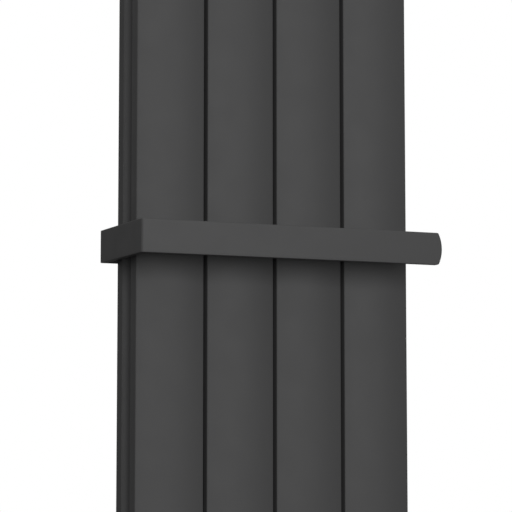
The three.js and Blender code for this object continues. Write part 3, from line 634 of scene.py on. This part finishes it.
def plug(key):
    """A plug whose Y runs outwards from the end of the boss. key is what is cut out of it."""
    body = lathe(rounded([
        (0, -PLUG["length"]),
        (PLUG["radius"], -PLUG["length"], PLUG_EDGE["tip"]),
        (PLUG["radius"], SEATING, 0.1),
        (PLUG["flange_radius"], SEATING, 0.3),
        (PLUG["flange_radius"], PLUG_FACE, PLUG_EDGE["rim"]),
        (0, PLUG_FACE),
    ], closed=False))
    return combine("DIFFERENCE", body, key)


def hex_key():
    outline = hexagon(2 * PLUG_KEY["size"] * math.cos(math.pi / 6))
    return moved(prism(outline, PLUG_FACE - PLUG_KEY["depth"], PLUG_FACE + OVERCUT), Z_TO_Y)


def vent_bore():
    bore = circle(0, 0, VENT["radius"] + SEATING, ROUND_SEGMENTS)
    return moved(prism(bore, -PLUG["length"] - OVERCUT, PLUG_FACE + OVERCUT), Z_TO_Y)


def vent_screw():
    tip = PLUG_FACE + VENT["proud"]
    body = lathe(rounded([
        (0, tip - VENT["length"]),
        (VENT["radius"], tip - VENT["length"], VENT["edge"]),
        (VENT["radius"], tip, VENT["edge"]),
        (0, tip),
    ], closed=False))
    half = VENT["slot"] / 2
    slot = rectangle((-2 * VENT["radius"], -half), (2 * VENT["radius"], half), SLOT_CORNER)
    cutter = prism(slot, tip - VENT["slot_depth"], tip + OVERCUT)
    return combine("DIFFERENCE", body, moved(cutter, Z_TO_Y))


def add_plugs():
    end_x = section_x[-1] + boss_end
    high = top_z - HEAD_HEIGHT / 2
    low = HEAD_HEIGHT / 2
    plugs = [
        ("bottom_left_plug", -1, low, plug(hex_key())),
        ("bottom_right_plug", 1, low, plug(hex_key())),
        ("top_right_plug", 1, high, plug(hex_key())),
        ("vent_plug", -1, high, plug(vent_bore())),
        ("vent_screw", -1, high, vent_screw()),
    ]
    for node, side, z, bm in plugs:
        replace(node, moved(bm, y_to_x(side), at(side * end_x, boss_y, z)))


# ---------------- wall brackets


def hook():
    """The arm, drawn as (y, z) from the axis of the joint that it hooks round."""
    wall = -boss_y
    root = wall - BRACKET["thickness"] / 2
    saddle = arc(0, 0, HOOK_RADIUS, *HOOK_ARC, HOOK_STEPS)
    tip_y, tip_z = saddle[-1]
    outer_y = tip_y - HOOK_TIP["width"]
    belly = (tip_y + HOOK_BELLY["run"], -HOOK_RADIUS - HOOK_BELLY["below"])
    sweep = (HOOK_SWEEP["share"] * root, -HOOK_RADIUS - HOOK_SWEEP["below"])
    outline = [
        (root, -HOOK_RADIUS - HOOK_ROOT),
        (root, saddle[0][1]),
        *saddle[:-1],
        (tip_y, tip_z, HOOK_TIP["edge"]),
        (outer_y, tip_z, HOOK_TIP["edge"]),
        (outer_y, tip_z - HOOK_TIP["drop"], HOOK_TIP["corner"]),
        (*belly, HOOK_BELLY["corner"]),
        (*sweep, HOOK_SWEEP["corner"]),
    ]
    half, edge = BRACKET["thickness"] / 2, BRACKET["edge"]
    bm = prism(rounded(outline)[::-1], -half, half, round_low=edge, round_high=edge)
    return moved(bm, SIDE_VIEW)


def bracket():
    wall = -boss_y
    half = BRACKET["width"] / 2
    bottom = -BRACKET["height"]
    offset, hole_inset = BRACKET_HOLE["offset"], BRACKET_HOLE["inset"]
    holes = [
        circle(offset, -hole_inset, BRACKET_HOLE["radius"]),
        circle(-offset, bottom + hole_inset, BRACKET_HOLE["radius"]),
    ]
    outline = rectangle((-half, bottom), (half, 0), BRACKET["corner"])
    plate = prism(outline, 0, BRACKET["thickness"], holes, round_high=BRACKET["edge"])
    return combine("UNION", moved(plate, FRONT_VIEW, at(0, wall, 0)), hook())


def add_brackets():
    for side, x in (("left", gap_x[0]), ("right", gap_x[-1])):
        upper = at(x, boss_y, top_z - HEAD_HEIGHT / 2)
        replace(f"upper_{side}_bracket", moved(bracket(), upper))
        lower = at(x, boss_y, HEAD_HEIGHT / 2)
        replace(f"lower_{side}_bracket", moved(bracket(), HALF_TURN_ABOUT_Y, lower))


# ---------------- towel rail

rail_low, rail_high = cad("towel_rail")
rail_z = (rail_low.z + rail_high.z) / 2
rail_rear_y = rail_high.y
rail_front_y = rail_low.y
rail_left_x = rail_low.x
rail_arm_x = cad("rail_pad")[1].x + SEATING
rail_corner_x = rail_high.x - RAIL_END_BULGE


def rail_stations():
    """Pairs of plan points round the two folds, on the outer and inner face, front fold first."""
    reach = RAIL_THICKNESS + RAIL_INNER_FOLD
    outer_x, inner_x = rail_left_x + RAIL_FOLD, rail_left_x + reach
    stations = []
    for face_y, inwards, start in ((rail_front_y, 1, 270), (rail_rear_y, -1, 180)):
        outer_y, inner_y = face_y + inwards * RAIL_FOLD, face_y + inwards * reach
        outer = arc(outer_x, outer_y, RAIL_FOLD, start, start - 90, RAIL_FOLD_STEPS)
        inner = arc(inner_x, inner_y, RAIL_INNER_FOLD, start, start - 90, RAIL_FOLD_STEPS)
        stations += zip(outer, inner)
    return stations


def rail_ring(thickness, height, corner):
    """Section of the rail as (distance from the outer face, z). One half mirrors the other."""
    half = height / 2
    low = arc(corner, corner - half, corner, -90, -180, EDGE_STEPS)
    high = arc(corner, half - corner, corner, 180, 90, EDGE_STEPS)
    side = [(0, (half - corner) * (2 * k / RAIL_SIDE_STEPS - 1)) for k in range(1, RAIL_SIDE_STEPS)]
    first = low + side + high
    return first + [(thickness - u, z) for u, z in reversed(first)]


def end_bulge(z):
    """How far the bowed free end stands out at a height."""
    half = RAIL_HEIGHT / 2
    radius = (half ** 2 + RAIL_END_BULGE ** 2) / (2 * RAIL_END_BULGE)
    return math.sqrt(radius ** 2 - z ** 2) - (radius - RAIL_END_BULGE)


def end_rings(bm, radius, x_at, side):
    """Rings that round the end of a straight stretch, from its flat tip to its full section."""
    rings = []
    for k in range(EDGE_STEPS + 3):
        angle = math.pi / 2 * k / (EDGE_STEPS + 2)
        shrink = radius * (1 - math.sin(angle))
        back = radius * (1 - math.cos(angle))
        corner = max(RAIL_EDGE * 0.4, RAIL_EDGE - shrink)
        section = rail_ring(RAIL_THICKNESS - 2 * shrink, RAIL_HEIGHT - 2 * shrink, corner)
        ring = []
        for u, z in section:
            y = side[0] + side[1] * (u + shrink)
            ring.append(bm.verts.new((x_at(z) - back, y, z)))
        rings.append(ring)
    return rings


def rail_bar():
    """The folded bar as one skin round its own centre height."""
    bm = bmesh.new()
    rings = end_rings(bm, RAIL_END_ROUND, lambda z: rail_corner_x + end_bulge(z), (rail_front_y, 1))
    for outer, inner in rail_stations():
        outer, inner = Vector(outer), Vector(inner)
        thickness = (inner - outer).length
        across = (inner - outer) / thickness
        ring = []
        for u, z in rail_ring(thickness, RAIL_HEIGHT, RAIL_EDGE):
            x, y = outer + across * u
            ring.append(bm.verts.new((x, y, z)))
        rings.append(ring)
    rings += end_rings(bm, RAIL_ARM_ROUND, lambda z: rail_arm_x, (rail_rear_y, -1))[::-1]
    for a, b in zip(rings, rings[1:]):
        add_band(bm, a, b)
    for ring in (rings[0], rings[-1]):
        last = len(ring) - 1
        for k in range(len(ring) // 2 - 1):
            bm.faces.new((ring[k], ring[k + 1], ring[last - k - 1], ring[last - k]))
    return bm


def add_rail():
    screws = [middle(f"rail_screw_{i + 1}").x for i in range(2)]
    bores = []
    for x in screws:
        hole = circle(x, 0, RAIL_HOLE_RADIUS)
        bore = prism(hole, -rail_rear_y - OVERCUT, -rail_rear_y + 2 * RAIL_THICKNESS)
        bores.append(moved(bore, FRONT_VIEW))
    bar = combine("DIFFERENCE", rail_bar(), *bores)
    replace("towel_rail", moved(bar, at(0, 0, rail_z)))

    pad_low, pad_high = cad("rail_pad")
    holes = [circle(x, rail_z, RAIL_HOLE_RADIUS) for x in screws]
    edge = RAIL_PAD["edge"]
    outline = rectangle((pad_low.x, pad_low.z), (pad_high.x, pad_high.z), RAIL_PAD["corner"])
    pad = prism(outline, -pad_high.y, -pad_low.y, holes, round_low=edge, round_high=edge)
    replace("rail_pad", moved(pad, FRONT_VIEW))

    for i, x in enumerate(screws):
        add_rail_fixing(i + 1, x)


def add_rail_fixing(number, x):
    nut_low, nut_high = cad(f"rail_clamp_nut_{number}")
    edge = RAIL_NUT["edge"]
    outline = rectangle((nut_low.x, nut_low.z), (nut_high.x, nut_high.z), RAIL_NUT["corner"])
    thread = circle(x, rail_z, RAIL_HOLE_RADIUS)
    nut = prism(outline, -nut_high.y, -nut_low.y, [thread], round_low=edge, round_high=edge)
    replace(f"rail_clamp_nut_{number}", moved(nut, FRONT_VIEW))

    screw_low, screw_high = cad(f"rail_screw_{number}")
    head_radius, head_height = RAIL_SCREW["head_radius"], RAIL_SCREW["head_height"]
    shank = RAIL_SCREW["shank"]
    length = screw_high.y - screw_low.y
    screw = lathe(rounded([
        (0, 0),
        (head_radius, 0, 0.5),
        (head_radius, head_height, 0.3),
        (shank, head_height, 0.3),
        (shank, length, 0.5),
        (0, length),
    ], closed=False), SMALL_SEGMENTS)
    key = moved(prism(hexagon(RAIL_SCREW["key_flats"]), -OVERCUT, RAIL_SCREW["key_depth"]), Z_TO_Y)
    screw = combine("DIFFERENCE", screw, key)
    place = at(x, screw_high.y, rail_z)
    replace(f"rail_screw_{number}", moved(screw, HALF_TURN_ABOUT_Z, place))


# ---------------- what both valves share

VALVE_DROP = 40
FILLET_STEPS = 6
INLET = {"radius": 10.5, "end": -27, "shoulder": -14.6}
BARREL = {"radius": 12.5, "back": -12.5, "front": 10, "neck": 15.5}
BRANCH = {"root_radius": 11.3, "radius": 12, "step": 9, "shoulder": 13, "top": 22}
SOCKET = {"radius": 7.8, "stop": -15}
SEAT_RADIUS = 5.5
CHAMBER = {"radius": 8.6, "back": -7}
RISER_RADIUS = 6.5
TAIL = {"bore": 6.2, "foot": 10.7, "waist": 8.2, "collar": 13, "thread": 10.2}
TAIL_FOOT_HEIGHT = 3
TAIL_COLLAR_HEIGHT = 5.5
UNION_NUT = {"flats": 27, "ends": (14.8, 29), "cut": (10, 31), "radii": (12.3, 8.5), "ledge": 25.7}
PIPE_NUT = {"flats": 24, "ends": (-40, -16), "cut": (-42, -14), "radii": (7.8, 10.8), "ledge": -34}
NUT_CHAMFER = 1.2
NECKS = {"thermostat": (14.2, 26), "lockshield": (10, 22)}


def to_valve(section_index):
    """From a valve's own frame, with Y towards the room and its two axes crossing at the origin."""
    place = at(section_x[section_index], boss_y, -VALVE_DROP)
    return place @ HALF_TURN_ABOUT_Z


def chamfered_hex(flats, low, high, chamfer=NUT_CHAMFER, bore=()):
    """A hexagon nut along Y with its corners turned down, cut by a bore profile."""
    corner = flats / math.sqrt(3)
    blank = moved(prism(hexagon(flats), low, high), Z_TO_Y)
    envelope = lathe([
        (0, low - 0.01),
        (corner - chamfer, low - 0.01),
        (corner + 0.2, low + 0.6 * chamfer),
        (corner + 0.2, high - 0.6 * chamfer),
        (corner - chamfer, high + 0.01),
        (0, high + 0.01),
    ], 2 * ROUND_SEGMENTS)
    nut = combine("INTERSECT", blank, envelope)
    return combine("DIFFERENCE", nut, lathe(bore)) if bore else nut


def valve_body(neck_radius, neck_end):
    """Angled valve body: inlet to the wall, neck to the room, branch upwards."""
    barrel = lathe(rounded([
        (0, INLET["end"]),
        (INLET["radius"], INLET["end"], 0.6),
        (INLET["radius"], INLET["shoulder"], 0.4),
        (BARREL["radius"], BARREL["back"], 2.0),
        (BARREL["radius"], BARREL["front"], 2.0),
        (neck_radius, BARREL["neck"], 1.6),
        (neck_radius, neck_end, 0.6),
        (0, neck_end),
    ], closed=False, steps=FILLET_STEPS))
    branch = lathe(rounded([
        (0, 0),
        (BRANCH["root_radius"], 0),
        (BRANCH["root_radius"], BRANCH["step"], 3),
        (BRANCH["radius"], BRANCH["shoulder"], 1),
        (BRANCH["radius"], BRANCH["top"], 0.6),
        (0, BRANCH["top"]),
    ], closed=False, steps=FILLET_STEPS))
    socket = lathe([
        (0, INLET["end"] - OVERCUT),
        (SOCKET["radius"], INLET["end"] - OVERCUT),
        (SOCKET["radius"], SOCKET["stop"]),
        (SEAT_RADIUS, SOCKET["stop"] + 0.1),
        (SEAT_RADIUS, 0),
        (0, 0),
    ])
    chamber = cylinder(CHAMBER["radius"], CHAMBER["back"], neck_end + OVERCUT)
    riser = cylinder(RISER_RADIUS, 0, BRANCH["top"] + OVERCUT)
    joined = combine("UNION", barrel, moved(branch, Y_TO_Z))
    return combine("DIFFERENCE", joined, socket, chamber, moved(riser, Y_TO_Z))


def tail():
    """Threaded tail that stands on the branch and screws into the radiator."""
    foot = BRANCH["top"] + SEATING
    foot_top = foot + TAIL_FOOT_HEIGHT
    collar = VALVE_DROP - TAIL_COLLAR_HEIGHT
    shoulder = VALVE_DROP - SEATING
    end = VALVE_DROP + TAPPING_RADIUS
    return moved(lathe(rounded([
        (TAIL["bore"], foot),
        (TAIL["foot"], foot, 0.4),
        (TAIL["foot"], foot_top, 0.4),
        (TAIL["waist"], foot_top, 0.4),
        (TAIL["waist"], collar, 1.0),
        (TAIL["collar"], collar, 0.8),
        (TAIL["collar"], shoulder, 0.4),
        (TAIL["thread"], shoulder, 0.2),
        (TAIL["thread"], end, 0.8),
        (TAIL["bore"], end, 0.4),
    ])), Y_TO_Z)


def stepped_nut(size):
    """A hexagon nut whose bore changes from one radius to another at its ledge."""
    (low, high), (first, second), ledge = size["cut"], size["radii"], size["ledge"]
    bore = [(0, low), (first, low), (first, ledge), (second, ledge), (second, high), (0, high)]
    return chamfered_hex(size["flats"], *size["ends"], bore=bore)


def add_valve(prefix, section_index):
    place = to_valve(section_index)
    replace(f"{prefix}_body", moved(valve_body(*NECKS[prefix]), place))
    replace(f"{prefix}_tail", moved(tail(), place))
    replace(f"{prefix}_union_nut", moved(stepped_nut(UNION_NUT), Y_TO_Z, place))
    replace(f"{prefix}_compression_nut", moved(stepped_nut(PIPE_NUT), place))
    return place


# ---------------- thermostatic head

WHEEL = {"radius": 24, "back": 44.6, "skirt": 51, "shoulder": 88, "front": 94, "crown": 6}
WHEEL_CAVITY = {"radius": 16.8, "ceiling": 86}
WHEEL_GRIP = {"inset": 0.35, "stations": (60, 70, 80)}
WHEEL_FACE = {"radius": 14.5, "sunk": 0.4}
FLUTES = 12
FLUTE_DEPTH = 1.7
FLUTE_HALF_ANGLE = 7.0
FLUTE_FADE = 1.5
FLUTE_STEPS = 20
KNURL_STEPS = 8
KNURL_DEPTH = 0.55
KNURL_FADE = 1.6
RING_NUT = {"radius": 17, "back": 16.2, "front": 31, "bore": 14.5, "lip": 12.9, "ledge": 29}
RING_KNURL = {"count": 40, "start": 18, "end": 29.2}
HEAD_FOOT = {"back": 26.4, "bore": 11.4, "flange": 14.2, "flange_height": 2.3, "waist": 12.6}
HEAD_CAGE = {"back": 32, "foot": 17.5, "cone": 37, "radius": 22.5, "front": 44}
HEAD_TUBE = {"radius": 16.2, "bore": 14.2, "pin_hole": 4.5, "end": 78, "floor": (34, 36)}
CAGE_SLOTS = {"count": 24, "depth": 1.4, "start": 36.6, "end": 43.6, "share": 0.34, "steps": 12}
DIAL_NUMBERS = "012345"
DIAL_STEP = 60
INDEX_ANGLE = 90
INDEX_MARK = {"width": 1.6, "back": 40.4, "front": 43.8, "root": 22.2, "top": 22.9}
DIAL_TEXT = 4.4
DIAL_RELIEF = 0.15


def ridges(count, depth, start, end, least_radius, half_share=0.5):
    """A groove function: evenly spaced soft flutes between two stations along Y, on the outside
    of a body, which is all of it beyond the least radius."""
    pitch = 2 * math.pi / count

    def groove(angle, radius, y):
        if radius <= least_radius or y <= start or y >= end:
            return 0
        off_centre = abs((angle + pitch / 2) % pitch - pitch / 2) / (pitch * half_share)
        fading = min(1, (y - start) / FLUTE_FADE, (end - y) / FLUTE_FADE)
        return depth * fading * math.cos(math.pi / 2 * off_centre) ** 2 if off_centre < 1 else 0

    return groove


def handwheel():
    """Fluted cup with a plain skirt and a domed front."""
    inner, ceiling = WHEEL_CAVITY["radius"], WHEEL_CAVITY["ceiling"]
    radius, back, round_radius = WHEEL["radius"], WHEEL["back"], WHEEL["crown"]
    skirt, shoulder, front = WHEEL["skirt"], WHEEL["shoulder"], WHEEL["front"]
    step = WHEEL_GRIP["inset"]
    grip_radius = radius - step
    cavity = [(0, ceiling), (inner, ceiling, 1), (inner, back, 0.6)]
    skirt_rim = [(radius, back, 0.8), (radius, skirt, 0.2), (grip_radius, skirt + step)]
    stations = (skirt + 1.2, skirt + 2.2, *WHEEL_GRIP["stations"], shoulder - 2)
    grip = [(grip_radius, y) for y in stations]
    crown = arc(grip_radius - round_radius, front - round_radius, round_radius, 0, 90, 12)
    face_radius, sunk = WHEEL_FACE["radius"], WHEEL_FACE["sunk"]
    face = [(face_radius, front), (face_radius - sunk, front - sunk), (0, front - sunk)]
    profile = rounded(cavity + skirt_rim + grip, closed=False) + crown + face
    share = FLUTE_HALF_ANGLE * FLUTES / 360
    groove = ridges(FLUTES, FLUTE_DEPTH, skirt + 0.6, front - 0.5, inner + 0.5, share)
    return lathe(profile, FLUTES * FLUTE_STEPS, groove)


def dial_text(digit, angle):
    """A raised digit round the handwheel's skirt, upright for someone who looks down on it."""
    text = bpy.data.curves.new("digit", "FONT")
    text.body = digit
    text.size = DIAL_TEXT
    text.align_x = "CENTER"
    text.align_y = "CENTER"
    text.extrude = DIAL_RELIEF
    holder = add_object("digit", text)
    bm = evaluated_body(holder)
    bpy.data.objects.remove(holder)
    centre_y = (WHEEL["back"] + WHEEL["skirt"]) / 2
    for vertex in bm.verts:
        x, y, z = vertex.co
        turn = math.radians(angle) + x / WHEEL["radius"]
        radius = WHEEL["radius"] + z
        vertex.co = (radius * math.cos(turn), centre_y - y, radius * math.sin(turn))
    return bm


def merged(bodies):
    """Several separate bodies as one mesh."""
    result = bmesh.new()
    for bm in bodies:
        mesh = bpy.data.meshes.new("part")
        bm.to_mesh(mesh)
        bm.free()
        result.from_mesh(mesh)
        bpy.data.meshes.remove(mesh)
    return result


def knurl_stations(start, end, fade):
    """Where a knurl begins, is at its full depth and ends."""
    return start, start + fade, end - fade, end


def ring_nut():
    radius, back, front = RING_NUT["radius"], RING_NUT["back"], RING_NUT["front"]
    bore, lip, ledge = RING_NUT["bore"], RING_NUT["lip"], RING_NUT["ledge"]
    start, end = RING_KNURL["start"], RING_KNURL["end"]
    profile = rounded([
        (bore, back),
        (radius, back, 0.6),
        *((radius, y) for y in knurl_stations(start, end, KNURL_FADE)),
        (radius, front, 0.6),
        (lip, front, 0.3),
        (lip, ledge),
        (bore, ledge),
    ])
    knurl = ridges(RING_KNURL["count"], KNURL_DEPTH, start, end, radius - 0.5)
    return lathe(profile, RING_KNURL["count"] * KNURL_STEPS, knurl)


def head_base():
    """Cage of the head: a slotted bell behind the handwheel and a guide tube inside it."""
    foot, flange, waist = HEAD_FOOT["back"], HEAD_FOOT["flange"], HEAD_FOOT["waist"]
    flange_top = foot + HEAD_FOOT["flange_height"]
    cage, front = HEAD_CAGE["radius"], HEAD_CAGE["front"]
    tube, tube_bore = HEAD_TUBE["radius"], HEAD_TUBE["bore"]
    floor_back, floor_front = HEAD_TUBE["floor"]
    profile = rounded([
        (HEAD_FOOT["bore"], foot),
        (flange, foot),
        (flange, flange_top),
        (waist, flange_top),
        (waist, HEAD_CAGE["back"], 0.3),
        (HEAD_CAGE["foot"], HEAD_CAGE["back"], 2.0),
        (cage, HEAD_CAGE["cone"], 2.0),
        (cage, HEAD_CAGE["cone"] + 1.5),
        (cage, front - 1.6),
        (cage, front, 0.5),
        (tube, front, 0.5),
        (tube, HEAD_TUBE["end"], 0.4),
        (tube_bore, HEAD_TUBE["end"], 0.4),
        (tube_bore, floor_front, 0.4),
        (HEAD_TUBE["pin_hole"], floor_front),
        (HEAD_TUBE["pin_hole"], floor_back),
        (HEAD_FOOT["bore"], floor_back),
    ])
    count, depth, share = CAGE_SLOTS["count"], CAGE_SLOTS["depth"], CAGE_SLOTS["share"]
    slots = ridges(count, depth, CAGE_SLOTS["start"], CAGE_SLOTS["end"], 19, share)
    return lathe(profile, count * CAGE_SLOTS["steps"], slots)


def index_mark():
    """The raised mark on the cage that the dial is read against."""
    half = INDEX_MARK["width"] / 2
    outline = rectangle((-half, INDEX_MARK["back"]), (half, INDEX_MARK["front"]), 0.5)
    return prism(outline, INDEX_MARK["root"], INDEX_MARK["top"], round_high=0.3)


PRINT = powder_coat("pale print", (0.55, 0.55, 0.54), 0.5, 0.5)


def add_thermostat():
    place = add_valve("thermostat", 0)
    replace("thermostat_ring_nut", moved(ring_nut(), place))
    replace("thermostat_head_base", moved(head_base(), place))
    replace("thermostat_handwheel", moved(handwheel(), place))

    digits = [dial_text(d, INDEX_ANGLE + DIAL_STEP * i) for i, d in enumerate(DIAL_NUMBERS)]
    numerals = finish_mesh("dial_numerals", moved(merged(digits), place))
    numerals.data.materials.append(PRINT)
    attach(numerals, body_of("thermostat_handwheel"))

    mark = finish_mesh("dial_index_mark", moved(index_mark(), place))
    mark.data.materials.append(PRINT)
    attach(mark, body_of("thermostat_head_base"))


# ---------------- lockshield valve

BONNET = {"radius": 8.3, "back": 9, "collar": 22.3, "hex_height": 4.7, "flats": 17, "bore": 3.4}
BONNET_CHAMFER = 0.8
SPINDLE = {"radius": 3.1, "bore": 1.9, "back": 11, "bore_end": 24, "front": 30}
SPINDLE_SLOT = {"half_length": 4, "half_width": 0.6, "floor": 28.4}
CAP = {"radius": 13.5, "bore": 11.5, "back": 16, "ceiling": 33, "front": 37}
CAP_RIBS = {"count": 30, "start": 18, "end": 35.6}


def bonnet():
    collar = BONNET["collar"]
    top = collar + BONNET["hex_height"]
    barrel = cylinder(BONNET["radius"], BONNET["back"], collar)
    head_hex = chamfered_hex(BONNET["flats"], collar - 0.01, top, BONNET_CHAMFER)
    bore = cylinder(BONNET["bore"], 0, top + OVERCUT)
    return combine("DIFFERENCE", combine("UNION", barrel, head_hex), bore)


def spindle():
    radius, bore, front = SPINDLE["radius"], SPINDLE["bore"], SPINDLE["front"]
    body = lathe(rounded([
        (0, SPINDLE["bore_end"]),
        (bore, SPINDLE["bore_end"]),
        (bore, SPINDLE["back"]),
        (radius, SPINDLE["back"], 0.3),
        (radius, front, 0.5),
        (0, front),
    ], closed=False), SMALL_SEGMENTS)
    length, width = SPINDLE_SLOT["half_length"], SPINDLE_SLOT["half_width"]
    slot = rectangle((-length, -width), (length, width), SLOT_CORNER)
    cutter = prism(slot, SPINDLE_SLOT["floor"], front + OVERCUT)
    return combine("DIFFERENCE", body, moved(cutter, Z_TO_Y))


def cap():
    radius, bore, back = CAP["radius"], CAP["bore"], CAP["back"]
    ceiling, front = CAP["ceiling"], CAP["front"]
    start, end = CAP_RIBS["start"], CAP_RIBS["end"]
    profile = rounded([
        (0, ceiling),
        (bore, ceiling, 0.8),
        (bore, back, 0.5),
        (radius, back, 0.6),
        (radius, start),
        (radius, start + KNURL_FADE),
        (radius, ceiling),
        (radius, front, 2.0),
        (0, front),
    ], closed=False)
    ribs = ridges(CAP_RIBS["count"], KNURL_DEPTH, start, end, 12.4)
    return lathe(profile, CAP_RIBS["count"] * KNURL_STEPS, ribs)


def add_lockshield():
    place = add_valve("lockshield", SECTION_COUNT - 1)
    replace("lockshield_bonnet", moved(bonnet(), place))
    replace("lockshield_spindle", moved(spindle(), place))
    replace("lockshield_cap", moved(cap(), place))


# ---------------- finish of the nodes that stay


def coat_remaining_nodes():
    for node, piece in frame["nodes"].items():
        if piece.hide_render:
            continue
        piece.data.materials.clear()
        piece.data.materials.append(SLOT_MATERIALS[slot_of(node)])
        piece.data.shade_smooth()
        piece.data.set_sharp_from_angle(angle=math.radians(SHARP_ANGLE))


# ---------------- room, light and camera, in metres

FLOOR_Z = -0.2
FLOOR_SIZE = 60
FLOOR_SUN = 1.7
FLOOR_SUN_SPREAD = 30
SOFTBOXES = {
    "side": {"offset": (-2.1, -5.6, 0.75), "size": (2.0, 3.2), "power": 290},
    "back": {"offset": (3.0, 3.0, 0.4), "size": (2.0, 2.4), "power": 240},
    "key": {"offset": (0.65, -6.0, 0.75), "size": (5.6, 3.2), "power": 138},
}
SKY_FILL = 0.2
ZENITH_FILL = 0.6
GROUND_FILL = 0.12
HORIZON_BLUR = 0.25
WHITE = (1, 1, 1, 1)
CAMERA_PLACE = (-1.0735, -2.5061, 0.8721)
CAMERA_YAW = 23.523
CAMERA_PITCH = 5.799
CAMERA_LENS = 146.68
SENSOR_WIDTH = 36


def link_light(lamp, floor, state):
    """Lights only the floor, or everything else."""
    receivers = bpy.data.collections.new(f"{lamp.name} receivers")
    receivers.objects.link(floor)
    receivers.collection_objects[0].light_linking.link_state = state
    lamp.light_linking.receiver_collection = receivers


def add_floor():
    """A pale floor with a light of its own, which throws no colour back on the object."""
    bm = bmesh.new()
    bmesh.ops.create_grid(bm, x_segments=1, y_segments=1, size=FLOOR_SIZE / 2 / MM)
    floor = finish_mesh("floor", moved(bm, at(0, 0, FLOOR_Z / MM)))
    shader = Shader("pale floor", 0.7, specular=0.2)
    shader.colour(shader.blend(shader.noise(400, 3), (0.71, 0.71, 0.7), (0.73, 0.73, 0.72)))
    floor.data.materials.append(shader.material)
    floor.visible_diffuse = False
    floor.visible_glossy = False

    light = bpy.data.lights.new("floor light", "SUN")
    light.energy = FLOOR_SUN
    light.angle = math.radians(FLOOR_SUN_SPREAD)
    link_light(add_object("floor light", light), floor, "INCLUDE")
    return floor


def add_softbox(name, target, offset, size, power):
    light = bpy.data.lights.new(name, "AREA")
    light.shape = "RECTANGLE"
    light.size, light.size_y = size
    light.energy = power
    lamp = add_object(name, light)
    lamp.location = target + Vector(offset)
    lamp.rotation_euler = (target - lamp.location).to_track_quat("-Z", "Y").to_euler()
    lamp.visible_camera = False
    return lamp


def add_lights(floor):
    """Three softboxes round the object, of which only the key light is seen in reflections."""
    centre = Vector((0, front_edge_y * MM, rail_z * MM))
    for name, values in SOFTBOXES.items():
        lamp = add_softbox(f"{name} softbox", centre, **values)
        lamp.visible_glossy = name == "key"
        link_light(lamp, floor, "EXCLUDE")


def add_world():
    """White to the camera, and a grey fill that is weaker from below."""
    world = bpy.data.worlds.new("studio")
    scene.world = world
    world.use_nodes = True
    tree = world.node_tree
    place = add_node(tree, "TexCoord")
    split = add_node(tree, "SeparateXYZ")
    blur = {"From_Min": -HORIZON_BLUR, "From_Max": HORIZON_BLUR}
    level = add_node(tree, "MapRange", **blur, To_Min=GROUND_FILL, To_Max=SKY_FILL)
    zenith = add_node(tree, "MapRange", From_Min=HORIZON_BLUR, To_Max=ZENITH_FILL)
    total = add_node(tree, "Math")
    fill = tree.nodes["Background"]
    fill.inputs["Color"].default_value = WHITE
    backdrop = add_node(tree, "Background", Color=WHITE)
    path = add_node(tree, "LightPath")
    mix = add_node(tree, "MixShader")
    surface = tree.nodes["World Output"].inputs["Surface"]
    for output, socket in (
        (place.outputs["Generated"], split.inputs["Vector"]),
        (split.outputs["Z"], level.inputs["Value"]),
        (split.outputs["Z"], zenith.inputs["Value"]),
        (level.outputs["Result"], total.inputs[0]),
        (zenith.outputs["Result"], total.inputs[1]),
        (total.outputs["Value"], fill.inputs["Strength"]),
        (path.outputs["Is Camera Ray"], mix.inputs["Fac"]),
        (fill.outputs["Background"], mix.inputs[1]),
        (backdrop.outputs["Background"], mix.inputs[2]),
        (mix.outputs["Shader"], surface),
    ):
        tree.links.new(output, socket)


def add_camera():
    data = bpy.data.cameras.new("camera")
    data.sensor_width = SENSOR_WIDTH
    data.lens = CAMERA_LENS
    camera = add_object("camera", data)
    camera.location = CAMERA_PLACE
    camera.rotation_euler = (math.radians(90 + CAMERA_PITCH), 0, -math.radians(CAMERA_YAW))
    scene.camera = camera


add_camera()
add_sections()
add_heads()
add_gaskets()
add_plugs()
add_brackets()
add_rail()
add_thermostat()
add_lockshield()
coat_remaining_nodes()
add_lights(add_floor())
add_world()
scene.view_settings.view_transform = "Standard"
